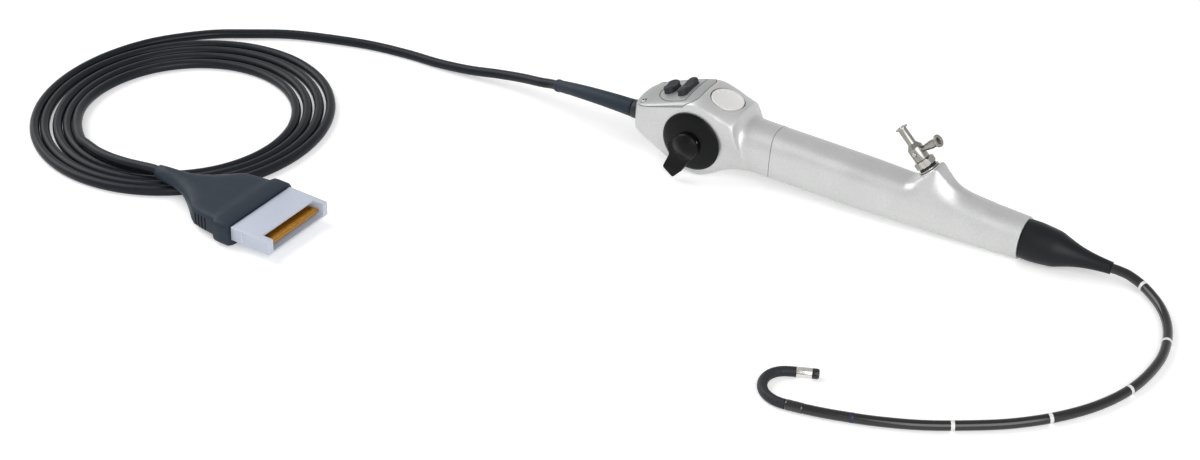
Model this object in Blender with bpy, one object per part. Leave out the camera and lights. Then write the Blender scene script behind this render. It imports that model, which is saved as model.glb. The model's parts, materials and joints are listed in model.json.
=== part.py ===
"""Flexible endoscope: a control handle with a thumb lever, a 5.4 mm insertion tube with a bending tip,
and a video cable with its flat connector. Metres, +Z up, +X from the cable end to the boot."""

import bpy
import bmesh
from math import atan, atan2, copysign, cos, pi, radians, sin, tan
from mathutils import Matrix, Vector

# Gaps between pieces that touch or turn on each other.
SEAT_GAP = 0.0003
RUNNING_GAP = 0.0001
BUTTON_GAP = 0.0002

# Control head. Distances along the handle are counted from the lever's axle, positive to the boot.
HEAD_REAR = -0.0453
HEAD_FRONT = 0.0438
HEAD_HALF_WIDTH = 0.0175
HEAD_PEAK_X = 0.0000
HEAD_PEAK_HEIGHT = 0.0256
HEAD_CREST_RUN = 0.0060
HEAD_CREST_FALL = 0.0008
HEAD_REAR_HEIGHT = 0.0085
HEAD_REAR_ROUND = 0.0060
HEAD_REAR_LIFT = 0.0046
HEAD_SHOULDER_X = 0.0240
HEAD_SHOULDER_HEIGHT = 0.0212
HEAD_BELLY_X = 0.0030
HEAD_BELLY_DEPTH = 0.0240
HEAD_REAR_DEPTH = 0.0082
HEAD_WALL = 0.0022
COVER_REAR_Z = 0.0085
COVER_FRONT = -0.0010
SCREW_RADIUS = 0.0015
SCREW_SPREAD = 0.0085
SCREW_TILT = radians(-28)

# Grip, from the seam with the head to the boot.
GRIP_END = 0.1972
GRIP_START_RADIUS = 0.0144
GRIP_END_RADIUS = 0.0119
GRIP_WALL = 0.0020
GRIP_SQUARENESS = 2.5

# Boot that grips the insertion tube.
BOOT_LENGTH = 0.0505
BOOT_START_RADIUS = 0.0112
BOOT_END_RADIUS = 0.0034
BOOT_SHOULDER = 0.0160
BOOT_SPIGOT = 0.0080

# Instrument port on the grip, leaning back to the head.
PORT_X = 0.1375
PORT_HEIGHT = 0.0226
PORT_LEAN = radians(45)
PORT_BOSS_RADIUS = 0.0065
PORT_RING_RADIUS = 0.0062
PORT_RING_THICKNESS = 0.0010
PORT_SEAL_RADIUS = 0.0052
PORT_SEAL_THICKNESS = 0.0008
NUT_ACROSS_CORNERS = 0.0121
NUT_THICKNESS = 0.0040
PORT_BODY_RADIUS = 0.00445
PORT_BODY_LENGTH = 0.0078
PORT_CONE_LENGTH = 0.0026
LUER_RADIUS = 0.00245
LUER_LENGTH = 0.0098
LUER_FLANGE_RADIUS = 0.0036
LUER_FLANGE_THICKNESS = 0.0009
LUER_BORE_RADIUS = 0.0016
STEM_RADIUS = 0.0030
STEM_DEPTH = 0.0150
SIDE_ARM_REACH = 0.0160
SIDE_ARM_RADIUS = 0.0016
SIDE_ARM_MOUTH_RADIUS = 0.0037
SIDE_ARM_BORE_RADIUS = 0.0011
SIDE_ARM_SEAT = 0.0012
PLUG_SCREW_RADIUS = 0.0014

# Lever on the near side of the head.
DOME_RADIUS = 0.0180
DOME_HEIGHT = 0.0042
DOME_RIM = 0.0012
HUB_RADIUS = 0.0064
HUB_HEIGHT = 0.0105
PADDLE_REACH = 0.0205
PADDLE_THICKNESS = 0.0056
PADDLE_TIP_WIDTH = 0.0095
PADDLE_LEAN = radians(14)
PIN_RADIUS = 0.0006
PIN_ANGLE = radians(35)
AXLE_RADIUS = 0.0025
BUSH_RADIUS = 0.0042
BUSH_FLANGE_RADIUS = 0.0052
BUSH_FLANGE = 0.0010
DRUM_RADIUS = 0.0085
DRUM_WIDTH = 0.0060
DRUM_GROOVE = 0.0008
CHASSIS_THICKNESS = 0.0016
CHASSIS_DEPTH = 0.0110
CHASSIS_END = 0.0640
CHASSIS_TONGUE = 0.0075
PULL_WIRE_RADIUS = 0.00045
IMAGE_BOARD_LENGTH = 0.0360
IMAGE_BOARD_WIDTH = 0.0130
CHANNEL_TUBE_RADIUS = 0.0014

# Buttons on top of the head.
BUTTON_TRAVEL = 0.0010
REAR_BUTTON_X = -0.0215
FRONT_BUTTON_X = -0.0118
BUTTON_HEIGHT = 0.0028
REAR_BUTTON_LENGTH = 0.0130
REAR_BUTTON_WIDTH = 0.0072
FRONT_BUTTON_LENGTH = 0.0200
FRONT_BUTTON_WIDTH = 0.0056
ROUND_BUTTON_X = 0.0123
ROUND_BUTTON_RADIUS = 0.0092
ROUND_BUTTON_HEIGHT = 0.0010
BUTTON_LIP = 0.0010
BUTTON_SKIRT = 0.0016
SWITCH_RADIUS = 0.0022
SWITCH_HEIGHT = 0.0012
BOARD_THICKNESS = 0.0012
SWITCH_BOARD_LENGTH = 0.0230
SWITCH_BOARD_WIDTH = 0.0190
ROUND_BOARD_SIZE = 0.0170

# Insertion tube, its binding and the bending section.
TUBE_RADIUS = 0.0027
BINDING_RADIUS = 0.00285
BINDING_LENGTH = 0.0097
TIP_HEADING = radians(187)
LINKS = 8
LINK_PITCH = 0.00545
LINK_RADIUS = 0.00205
LINK_WALL = 0.00040
KNUCKLE_RADIUS = 0.00110
KNUCKLE_GAP = 0.00006
LINK_GAP = 0.00024
LINK_SLACK = radians(1)
REST_BEND = radians(167)
FULL_BEND = radians(212)
BEND_SHARES = (0.09, 0.11, 0.115, 0.12, 0.125, 0.155, 0.155, 0.13)
BASE_LINK_LENGTH = 0.0024
RUBBER_RADIUS = 0.0027
RUBBER_WALL = 0.00032
SLEEVE_RADIUS = 0.00285
SLEEVE_LENGTH = 0.0080
SLEEVE_STANDOFF = 0.0061
INSERT_LENGTH = 0.0036
LENS_RADIUS = 0.00085
LIGHT_RADIUS = 0.00042
CHANNEL_RADIUS = 0.00110
CHANNEL_WALL = 0.00030

# Video cable, its strain relief, the coil and the connector.
CABLE_RADIUS = 0.0027
CABLE_DROP = 0.0039
RELIEF_START_RADIUS = 0.0052
RELIEF_END_RADIUS = 0.0035
RELIEF_TURN = radians(20)
RELIEF_DIP = radians(14.5)
RELIEF_LENGTH = 0.0605
GLAND_RADIUS = 0.0062
GLAND_THICKNESS = 0.0015
COIL_CENTRE = (-0.1826, -0.1202)
COIL_INNER_RADIUS = 0.0605
COIL_OUTER_RADIUS = 0.0905
PLUG_PLACE = (-0.1458, -0.1911, 0.0112)
PLUG_HEADING = radians(-4)
PLUG_DIP = radians(3.4)
PLUG_NECK_RADIUS = 0.0048
PLUG_COLLAR_X = 0.0580
PLUG_COLLAR_LENGTH = 0.0120
PLUG_COLLAR_HALF_WIDTH = 0.0280
PLUG_COLLAR_HALF_HEIGHT = 0.0066
SHELL_LENGTH = 0.0270
SHELL_HALF_WIDTH = 0.0255
SHELL_HALF_HEIGHT = 0.0043
SHELL_WALL = 0.0012
SHELL_SLOT_DEPTH = 0.0200
SHELL_SLOT_HALF_WIDTH = 0.0215
MOUTH_LENGTH = 0.0075
CONTACT_BLOCK_LENGTH = 0.0060
TONGUE_THICKNESS = 0.0018
TONGUE_SETBACK = 0.0022
TONGUE_SIDE_GAP = 0.0010

# Routes of the cords: points chosen by hand along their centre lines, in metres. The tube's are counted
# from the boot's mouth, the cable's from the end of its strain relief, heights from the table.
TUBE_ROUTE = (
    (0.0106, -0.0006, 0.0076), (0.0206, -0.0045, 0.0056), (0.0326, -0.0143, 0.0038),
    (0.0414, -0.0273, 0.0029), (0.0471, -0.0435, 0.0027), (0.0494, -0.0629, 0.0027),
    (0.0463, -0.0879, 0.0027), (0.0372, -0.1107, 0.0027), (0.0227, -0.1311, 0.0027),
    (0.0043, -0.1485, 0.0027), (-0.0154, -0.1617, 0.0027), (-0.0350, -0.1725, 0.0027),
    (-0.0553, -0.1805, 0.0027), (-0.0734, -0.1857, 0.0028), (-0.0834, -0.1880, 0.00285),
    (-0.0910, -0.1893, 0.00285),
)
LEAD_ROUTE = (
    (-0.0134, 0.0027, 0.0130), (-0.0284, 0.0059, 0.0101), (-0.0464, 0.0071, 0.0073),
    (-0.0664, 0.0063, 0.0048), (-0.0894, 0.0064, 0.0032), (-0.1124, 0.0074, 0.0027),
    (-0.1384, 0.0055, 0.0027), (-0.1644, 0.0004, 0.0027), (-0.1894, -0.0084, 0.0027),
    (-0.2124, -0.0204, 0.0027), (-0.2330, -0.0350, 0.0027), (-0.2510, -0.0530, 0.0027),
    (-0.2627, -0.0702, 0.0027), (-0.2676, -0.0807, 0.0027),
)
TAIL_ROUTE = (
    (-0.2140, -0.1740, 0.0084), (-0.2060, -0.1776, 0.0084), (-0.1960, -0.1815, 0.0085),
    (-0.1850, -0.1848, 0.0090), (-0.1730, -0.1875, 0.0098), (-0.1620, -0.1895, 0.0106),
)

# Fineness of the rounded meshes.
BODY_SIDES = 28
CAVITY_SIDES = 16
ROUND_SIDES = 24
SMALL_SIDES = 16
LINK_SIDES = 16
KNUCKLE_SIDES = 12


# Handle slope: the head's belly and the grip's end both rest on the table.
HANDLE_SLOPE = atan((HEAD_BELLY_DEPTH - GRIP_END_RADIUS) / (GRIP_END - HEAD_BELLY_X))
HANDLE_HEIGHT = HEAD_BELLY_X * sin(HANDLE_SLOPE) + HEAD_BELLY_DEPTH * cos(HANDLE_SLOPE)
BOOT_END = GRIP_END + BOOT_LENGTH
HANDLE_X = -(HEAD_REAR + BOOT_END) / 2 * cos(HANDLE_SLOPE)
HANDLE_Y = (HUB_HEIGHT + SEAT_GAP) / 2


def clear_scene():
    for thing in list(bpy.data.objects):
        bpy.data.objects.remove(thing, do_unlink=True)


def finish(name, colour, roughness, metallic=0.0):
    """A material with the piece's plain colour, from linear red, green and blue."""
    material = bpy.data.materials.get(name) or bpy.data.materials.new(name)
    material.use_nodes = True
    shader = material.node_tree.nodes["Principled BSDF"]
    shader.inputs["Base Color"].default_value = (*colour, 1.0)
    shader.inputs["Roughness"].default_value = roughness
    shader.inputs["Metallic"].default_value = metallic
    return material


def place_empty(name, parent, location=(0, 0, 0), rotation=(0, 0, 0)):
    empty = bpy.data.objects.new(name, None)
    empty.empty_display_size = 0.01
    empty.location = location
    empty.rotation_euler = rotation
    empty.parent = parent
    bpy.context.scene.collection.objects.link(empty)
    return empty


def add_object(name, mesh, material, parent, location=(0, 0, 0), rotation=(0, 0, 0)):
    piece = bpy.data.objects.new(name, mesh)
    piece.location = location
    piece.rotation_euler = rotation
    piece.parent = parent
    if material is not None:
        piece.data.materials.append(material)
    bpy.context.scene.collection.objects.link(piece)
    return piece


def mesh_from(bm, name, smooth_angle=35):
    """Close the bmesh, point its faces out and shade it smooth up to an angle."""
    bmesh.ops.remove_doubles(bm, verts=bm.verts, dist=1e-6)
    bmesh.ops.recalc_face_normals(bm, faces=bm.faces)
    mesh = bpy.data.meshes.new(name)
    bm.to_mesh(mesh)
    bm.free()
    mesh.shade_smooth()
    mesh.set_sharp_from_angle(angle=radians(smooth_angle))
    return mesh


def turned_mesh(name, outline, sides=ROUND_SIDES):
    """Turn an outline of (radius, height) points about Z. It is closed unless it starts and ends on the axis."""
    bm = bmesh.new()
    points = [bm.verts.new((r, 0, z)) for r, z in outline]
    on_axis = outline[0][0] == 0 and outline[-1][0] == 0
    pairs = list(zip(points, points[1:])) + ([] if on_axis else [(points[-1], points[0])])
    edges = [bm.edges.new(pair) for pair in pairs]
    bmesh.ops.spin(bm, geom=points + edges, cent=(0, 0, 0), axis=(0, 0, 1), angle=2 * pi,
                   steps=sides, use_merge=True)
    return mesh_from(bm, name)


def lofted_mesh(name, rings, caps=True, smooth_angle=35):
    """Join rings of points, each with the same count, into one skin."""
    bm = bmesh.new()
    rows = [[bm.verts.new(point) for point in ring] for ring in rings]
    count = len(rows[0])
    for row, following in zip(rows, rows[1:]):
        for i in range(count):
            j = (i + 1) % count
            bm.faces.new((row[i], row[j], following[j], following[i]))
    if caps:
        bm.faces.new(rows[0])
        bm.faces.new(rows[-1])
    else:
        for i in range(count):
            j = (i + 1) % count
            bm.faces.new((rows[-1][i], rows[-1][j], rows[0][j], rows[0][i]))
    return mesh_from(bm, name, smooth_angle)


def box_mesh(name, low, high, bevel=0.0, segments=2):
    bm = bmesh.new()
    bmesh.ops.create_cube(bm, size=1)
    low, high = Vector(low), Vector(high)
    size = high - low
    bmesh.ops.scale(bm, vec=size, verts=bm.verts)
    bmesh.ops.translate(bm, vec=(low + high) / 2, verts=bm.verts)
    if bevel:
        bmesh.ops.bevel(bm, geom=bm.edges, offset=bevel, segments=segments, profile=0.5,
                        affect="EDGES", material=-1)
    return mesh_from(bm, name)


def prism_mesh(name, outline, low, high, axis="Y"):
    """Extrude an outline between two heights: along Y from (x, z) points, or along Z from (x, y)."""
    bm = bmesh.new()
    if axis == "Y":
        points = [bm.verts.new((a, low, b)) for a, b in outline]
        way = Vector((0, high - low, 0))
    else:
        points = [bm.verts.new((a, b, low)) for a, b in outline]
        way = Vector((0, 0, high - low))
    face = bm.faces.new(points)
    new = bmesh.ops.extrude_face_region(bm, geom=[face])
    bmesh.ops.translate(bm, vec=way, verts=[v for v in new["geom"] if isinstance(v, bmesh.types.BMVert)])
    return mesh_from(bm, name)


def stadium(length, width, steps=6):
    """Outline of a bar along Y with round ends."""
    half = width / 2
    straight = length / 2 - half
    points = []
    for side in (1, -1):
        for i in range(steps + 1):
            angle = (0 if side > 0 else pi) + pi * i / steps
            points.append((half * cos(angle), side * straight + half * sin(angle)))
    return points


def circle(radius, sides=ROUND_SIDES):
    return [(radius * cos(2 * pi * i / sides), radius * sin(2 * pi * i / sides)) for i in range(sides)]


def add_modifier_boolean(piece, tool, operation):
    change = piece.modifiers.new(f"{operation.lower()}_{tool.name}", "BOOLEAN")
    change.operation = operation
    change.object = tool
    change.solver = "EXACT"
    tool.hide_render = True
    tool.display_type = "WIRE"


def cut(piece, mesh, parent, location=(0, 0, 0), rotation=(0, 0, 0)):
    tool = add_object(f"cutter_{mesh.name}", mesh, None, parent, location, rotation)
    add_modifier_boolean(piece, tool, "DIFFERENCE")
    return tool


def join(piece, mesh, parent, location=(0, 0, 0), rotation=(0, 0, 0)):
    tool = add_object(f"form_{mesh.name}", mesh, None, parent, location, rotation)
    add_modifier_boolean(piece, tool, "UNION")
    return tool


def rod_mesh(name, radius, low, high, sides=SMALL_SIDES):
    return turned_mesh(name, [(0, low), (radius, low), (radius, high), (0, high)], sides)


def ring_mesh(name, inner, outer, low, high, sides=ROUND_SIDES):
    return turned_mesh(name, [(inner, low), (outer, low), (outer, high), (inner, high)], sides)


def between(x, stops):
    """Value at x on the straight runs between (x, value) stops."""
    if x <= stops[0][0]:
        return stops[0][1]
    for (x0, y0), (x1, y1) in zip(stops, stops[1:]):
        if x <= x1:
            t = (x - x0) / (x1 - x0)
            return y0 + (y1 - y0) * t
    return stops[-1][1]


def rounded_section(x, half_width, top, bottom, squareness, sides=BODY_SIDES):
    """One section across the handle: a rounded box with its own height above and below the axis."""
    ring = []
    for i in range(sides):
        angle = 2 * pi * i / sides
        c, s = cos(angle), sin(angle)
        y = half_width * copysign(abs(c) ** (2 / squareness), c)
        z = (top if s > 0 else bottom) * copysign(abs(s) ** (2 / squareness), s)
        ring.append(Vector((x, y, z)))
    return ring


def head_sections(inset=0.0):
    """Sections of the head from its rear face to its neck: place, half width, top, bottom, squareness."""
    rear, front = HEAD_REAR, HEAD_FRONT
    width, neck = HEAD_HALF_WIDTH, GRIP_START_RADIUS
    peak_x, peak = HEAD_PEAK_X, HEAD_PEAK_HEIGHT
    low_x, low = HEAD_BELLY_X, HEAD_BELLY_DEPTH
    shoulder_x, shoulder = HEAD_SHOULDER_X, HEAD_SHOULDER_HEIGHT
    run, fall = HEAD_CREST_RUN, HEAD_CREST_FALL
    tops = ((rear, HEAD_REAR_HEIGHT), (rear + 0.0018, HEAD_REAR_HEIGHT + 0.0026),
            (rear + HEAD_REAR_ROUND, HEAD_REAR_HEIGHT + HEAD_REAR_LIFT),
            (peak_x - run, peak - fall), (peak_x, peak), (peak_x + run, peak - fall),
            (shoulder_x - 0.002, shoulder + 0.0006), (shoulder_x, shoulder - 0.0012),
            (shoulder_x + 0.003, (shoulder + neck) / 2), (shoulder_x + 0.006, neck + 0.0010),
            (shoulder_x + 0.0095, neck + 0.0002), (front, neck))
    bottoms = ((rear, HEAD_REAR_DEPTH - 0.0022), (rear + 0.0018, HEAD_REAR_DEPTH), (rear + 0.008, HEAD_REAR_DEPTH + 0.0022),
               (rear + 0.020, HEAD_REAR_DEPTH + 0.0072), (low_x - 0.015, low - 0.0062),
               (low_x - 0.008, low - 0.0016), (low_x, low), (low_x + 0.006, low - 0.0010),
               (low_x + 0.013, low - 0.0042), (low_x + 0.020, low - 0.0078),
               (shoulder_x + 0.004, neck + 0.0010), (shoulder_x + 0.010, neck), (front, neck))
    widths = ((rear, width - 0.0070), (rear + 0.0018, width - 0.0042), (rear + 0.006, width - 0.0018),
              (rear + 0.012, width - 0.0006), (rear + 0.020, width), (shoulder_x - 0.002, width),
              (shoulder_x + 0.002, width - 0.0006), (shoulder_x + 0.005, (width + neck) / 2),
              (shoulder_x + 0.008, neck + 0.0004), (shoulder_x + 0.011, neck), (front, neck))
    squares = ((rear, 3.6), (rear + 0.012, 4.6), (shoulder_x - 0.008, 4.2), (shoulder_x, 3.4),
               (shoulder_x + 0.009, GRIP_SQUARENESS), (front, GRIP_SQUARENESS))
    places = sorted({x for stops in (tops, bottoms, widths) for x, _ in stops})
    kept = [places[0]]
    for x in places[1:]:
        if x - kept[-1] > 0.0009:
            kept.append(x)
    kept[-1] = front
    return [(x, between(x, widths) - inset, between(x, tops) - inset, between(x, bottoms) - inset,
             between(x, squares)) for x in kept]


def head_form(name, grow=0.0):
    rings = [rounded_section(x, w + grow, t + grow, b + grow, n) for x, w, t, b, n in head_sections()]
    return lofted_mesh(name, rings, smooth_angle=40)


def head_top_at(x):
    """Height of the head's crown above the axis."""
    for (x0, _, t0, _, _), (x1, _, t1, _, _) in zip(head_sections(), head_sections()[1:]):
        if x0 <= x <= x1:
            return t0 + (t1 - t0) * (x - x0) / (x1 - x0)
    return GRIP_START_RADIUS


def head_cavity(name):
    """Room inside the head for the lever's drum and the boards, open to the grip."""
    room = [(x, w, t, b, n) for x, w, t, b, n in head_sections(HEAD_WALL) if x > HEAD_REAR + 0.004]
    rings = [rounded_section(x, w, t, b, n, CAVITY_SIDES) for x, w, t, b, n in room]
    past = HEAD_FRONT + 0.002
    x, w, t, b, n = room[-1]
    rings.append(rounded_section(past, w, t, b, n, CAVITY_SIDES))
    return lofted_mesh(name, rings)


def rear_slope():
    """Rise per length of the straight slope behind the head's crest."""
    low = HEAD_REAR_HEIGHT + HEAD_REAR_LIFT
    high = HEAD_PEAK_HEIGHT - HEAD_CREST_FALL
    return (high - low) / (HEAD_PEAK_X - HEAD_CREST_RUN - HEAD_REAR - HEAD_REAR_ROUND)


def cover_outline(lower):
    """Side view of the region that belongs to the top cover, its lower edge dropped by the given gap."""
    rear = HEAD_REAR - 0.004
    front = COVER_FRONT + lower
    high = HEAD_PEAK_HEIGHT + 0.01
    start = COVER_REAR_Z - lower
    bend_x = COVER_FRONT - 0.0075
    bend_z = COVER_REAR_Z + rear_slope() * (bend_x - HEAD_REAR) - lower
    return [(rear, start), (HEAD_REAR, start), (bend_x, bend_z), (front, HEAD_PEAK_HEIGHT + 0.0004),
            (front, high), (rear, high)]


def build_head(handle, paint, cover_paint, steel):
    wide = HEAD_HALF_WIDTH + 0.01
    housing = add_object("head_housing", head_form("head_housing"), paint, handle)
    cut(housing, prism_mesh("cover_region", cover_outline(SEAT_GAP), -wide, wide), handle)
    cut(housing, head_cavity("head_cavity"), handle)
    bush_hole = rod_mesh("bush_hole", BUSH_RADIUS + SEAT_GAP, -HEAD_HALF_WIDTH / 2, HEAD_WALL)
    cut(housing, bush_hole, handle, (0, -HEAD_HALF_WIDTH, 0), (pi / 2, 0, 0))
    cable_hole = rod_mesh("cable_hole", CABLE_RADIUS + SEAT_GAP, HEAD_REAR - 0.002, HEAD_REAR + 0.010)
    cut(housing, cable_hole, handle, (0, 0, -CABLE_DROP), (0, pi / 2, 0))
    cut(housing, rod_mesh("round_well", ROUND_BUTTON_RADIUS + BUTTON_GAP, -0.012, 0.012, ROUND_SIDES), *round_button_place(handle))

    cover = add_object("head_top_cover", head_form("head_top_cover"), cover_paint, handle)
    keep = add_object("form_cover_keep", prism_mesh("cover_keep", cover_outline(0), -wide, wide), None, handle)
    add_modifier_boolean(cover, keep, "INTERSECT")
    cut(cover, head_cavity("cover_cavity"), handle)
    for name, x, length, width in (("rear", REAR_BUTTON_X, REAR_BUTTON_LENGTH, REAR_BUTTON_WIDTH),
                                   ("front", FRONT_BUTTON_X, FRONT_BUTTON_LENGTH, FRONT_BUTTON_WIDTH)):
        hole = stadium(length + 2 * BUTTON_GAP, width + 2 * BUTTON_GAP)
        well = cut(cover, prism_mesh(f"{name}_well", hole, -0.012, 0.012, "Z"), *top_button_place(handle, x))
        add_modifier_boolean(housing, well, "DIFFERENCE")
    screw_x = HEAD_REAR + 0.0040
    head = [(0, -0.0021), (SCREW_RADIUS, -0.0021), (SCREW_RADIUS, -0.0011), (SCREW_RADIUS * 0.7, -0.0007), (0, -0.0006)]
    for side, name in ((-1, "cover_screw_near"), (1, "cover_screw_far")):
        place = (screw_x, side * SCREW_SPREAD, head_top_at(screw_x))
        seat = rod_mesh(f"{name}_seat", SCREW_RADIUS + BUTTON_GAP, -0.0024, 0.004)
        add_modifier_boolean(housing, cut(cover, seat, handle, place, (0, SCREW_TILT, 0)), "DIFFERENCE")
        add_object(name, turned_mesh(name, head, 16), steel, handle, place, (0, SCREW_TILT, 0))


def top_button_place(handle, x):
    """Parent, place and tilt of a button on the rear slope of the cover."""
    slope = atan(rear_slope())
    return handle, (x, 0, head_top_at(x)), (0, -slope, 0)


def round_button_place(handle):
    fall = atan2(HEAD_PEAK_HEIGHT - HEAD_SHOULDER_HEIGHT, HEAD_SHOULDER_X - HEAD_PEAK_X)
    return handle, (ROUND_BUTTON_X, 0, head_top_at(ROUND_BUTTON_X)), (0, fall, 0)


def grip_radius(x):
    share = (x - HEAD_FRONT) / (GRIP_END - HEAD_FRONT)
    return GRIP_START_RADIUS + (GRIP_END_RADIUS - GRIP_START_RADIUS) * share


def port_axis():
    """Direction of the port's axis in the handle's frame."""
    return Vector((-sin(PORT_LEAN), 0, cos(PORT_LEAN)))


def grip_ridge():
    """Height of the ridge that carries the port: steep on the head's side, long to the boot."""
    along = Vector((cos(PORT_LEAN), 0, sin(PORT_LEAN)))
    seat = Vector((PORT_X, 0, PORT_HEIGHT)) - port_axis() * 0.0006
    back = seat - along * PORT_BOSS_RADIUS
    crest = seat + along * PORT_BOSS_RADIUS
    fall = crest.z - grip_radius(crest.x)
    start, end = back.x - 0.0125, crest.x + 0.0330
    return ((start, grip_radius(start)), (back.x - 0.0065, grip_radius(back.x) + 0.0006),
            (back.x - 0.0025, (grip_radius(back.x) + back.z) / 2), (back.x, back.z), (seat.x, seat.z),
            (crest.x, crest.z), (crest.x + 0.0030, crest.z - 0.10 * fall), (crest.x + 0.0070, crest.z - 0.36 * fall),
            (crest.x + 0.0115, crest.z - 0.60 * fall), (crest.x + 0.0170, crest.z - 0.79 * fall),
            (crest.x + 0.0240, crest.z - 0.93 * fall), (end, grip_radius(end)))


def grip_section(x, inset=0.0, ridge=True, sides=BODY_SIDES):
    radius = grip_radius(x) - inset
    ring = rounded_section(x, radius, radius, radius, GRIP_SQUARENESS, sides)
    if not ridge:
        return ring
    stops = grip_ridge()
    if not stops[0][0] < x < stops[-1][0]:
        return ring
    lift = between(x, stops) - radius
    for point in ring:
        if point.z > 0:
            spread = min(abs(point.y) / (PORT_BOSS_RADIUS * 1.75), 1.0)
            point.z += lift * (1 - spread * spread * (3 - 2 * spread))
    return ring


def build_grip(handle, paint):
    start = HEAD_FRONT + SEAT_GAP
    stops = [x for x, _ in grip_ridge()]
    places = [start, start + 0.030, (start + stops[0]) / 2 + 0.02, *stops, GRIP_END - 0.002, GRIP_END]
    grip = add_object("grip_housing", lofted_mesh("grip_housing", [grip_section(x) for x in places]), paint, handle)
    bore = [grip_section(x, GRIP_WALL, False, CAVITY_SIDES) for x in (start - 0.002, GRIP_END + 0.002)]
    cut(grip, lofted_mesh("grip_bore", bore), handle)
    boss = rod_mesh("port_boss", PORT_BOSS_RADIUS, -0.0080, 0, ROUND_SIDES)
    place, turn = (PORT_X, 0, PORT_HEIGHT), (0, -PORT_LEAN, 0)
    join(grip, boss, handle, place, turn)
    cut(grip, rod_mesh("port_socket", STEM_RADIUS + RUNNING_GAP, -0.021, 0.002), handle, place, turn)
    return grip


def build_port(handle, steel, dark_steel, rubber):
    port = place_empty("port", handle, (PORT_X, 0, PORT_HEIGHT), (0, -PORT_LEAN, 0))
    ring_top = SEAT_GAP + PORT_RING_THICKNESS
    seal_low = ring_top + SEAT_GAP
    seal_top = seal_low + PORT_SEAL_THICKNESS
    nut_low = seal_top + SEAT_GAP
    nut_top = nut_low + NUT_THICKNESS
    body_low = nut_top + SEAT_GAP
    body_top = body_low + PORT_BODY_LENGTH
    cone_top = body_top + PORT_CONE_LENGTH
    luer_top = cone_top + LUER_LENGTH
    mouth = luer_top + LUER_FLANGE_THICKNESS
    hole = STEM_RADIUS + RUNNING_GAP
    add_object("port_ring", ring_mesh("port_ring", hole, PORT_RING_RADIUS, SEAT_GAP, ring_top), steel, port)
    add_object("port_seal", ring_mesh("port_seal", hole, PORT_SEAL_RADIUS, seal_low, seal_top), rubber, port)
    nut = add_object("port_nut", prism_mesh("port_nut", circle(NUT_ACROSS_CORNERS / 2, 6), nut_low, nut_top, "Z"),
                     steel, port)
    chamfer = NUT_ACROSS_CORNERS / 2 * (1 - cos(pi / 6))
    dome = turned_mesh("nut_chamfer", [(0, nut_low - 0.001), (NUT_ACROSS_CORNERS / 2, nut_low - 0.001),
                                      (NUT_ACROSS_CORNERS / 2, nut_top - chamfer),
                                      (NUT_ACROSS_CORNERS / 2 - chamfer, nut_top), (0, nut_top)], ROUND_SIDES)
    keep = add_object("form_nut_chamfer", dome, None, port)
    add_modifier_boolean(nut, keep, "INTERSECT")
    cut(nut, rod_mesh("nut_hole", hole, nut_low - 0.001, nut_top + 0.001), port)
    body = add_object("port_body", turned_mesh("port_body", [
        (LUER_BORE_RADIUS, -STEM_DEPTH), (STEM_RADIUS, -STEM_DEPTH), (STEM_RADIUS, body_low),
        (PORT_BODY_RADIUS, body_low), (PORT_BODY_RADIUS, body_top), (LUER_RADIUS, cone_top),
        (LUER_RADIUS, luer_top), (LUER_FLANGE_RADIUS, luer_top), (LUER_FLANGE_RADIUS, mouth),
        (LUER_BORE_RADIUS + 0.0003, mouth), (LUER_BORE_RADIUS, luer_top - 0.004)], ROUND_SIDES), steel, port)
    arm_height = body_low + PORT_BODY_LENGTH * 0.62
    arm_start = PORT_BODY_RADIUS - SIDE_ARM_SEAT
    seat = turned_mesh("arm_seat", [
        (0, 0.0001), (SIDE_ARM_BORE_RADIUS, 0.0001), (SIDE_ARM_BORE_RADIUS, arm_start - RUNNING_GAP),
        (SIDE_ARM_RADIUS + RUNNING_GAP, arm_start - RUNNING_GAP), (SIDE_ARM_RADIUS + RUNNING_GAP, PORT_BODY_RADIUS + 0.002),
        (0, PORT_BODY_RADIUS + 0.002)], 18)
    cut(body, seat, port, (0, 0, arm_height), (0, pi / 2, 0))
    screw_depth = 0.0010
    cut(body, rod_mesh("screw_hole", PLUG_SCREW_RADIUS + RUNNING_GAP, PORT_BODY_RADIUS - screw_depth, PORT_BODY_RADIUS + 0.002),
        port, (0, 0, arm_height), (pi / 2, 0, 0))
    arm = turned_mesh("side_arm", [
        (SIDE_ARM_BORE_RADIUS, arm_start), (SIDE_ARM_RADIUS, arm_start), (SIDE_ARM_RADIUS, PORT_BODY_RADIUS + 0.0008),
        (SIDE_ARM_RADIUS + 0.0009, SIDE_ARM_REACH * 0.62), (SIDE_ARM_RADIUS + 0.0009, SIDE_ARM_REACH - 0.0022),
        (SIDE_ARM_MOUTH_RADIUS, SIDE_ARM_REACH - 0.0011), (SIDE_ARM_MOUTH_RADIUS, SIDE_ARM_REACH),
        (SIDE_ARM_BORE_RADIUS + 0.0010, SIDE_ARM_REACH), (SIDE_ARM_BORE_RADIUS, SIDE_ARM_REACH - 0.0035)], 18)
    add_object("side_arm", arm, steel, port, (0, 0, arm_height), (0, pi / 2, 0))
    cap_low = PORT_BODY_RADIUS - screw_depth + RUNNING_GAP
    cap = turned_mesh("channel_plug", [(0, cap_low), (PLUG_SCREW_RADIUS, cap_low), (PLUG_SCREW_RADIUS, PORT_BODY_RADIUS),
                                       (PLUG_SCREW_RADIUS * 0.7, PORT_BODY_RADIUS + 0.0007), (0, PORT_BODY_RADIUS + 0.0009)], 16)
    add_object("channel_plug", cap, dark_steel, port, (0, 0, arm_height), (pi / 2, 0, 0))


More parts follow.
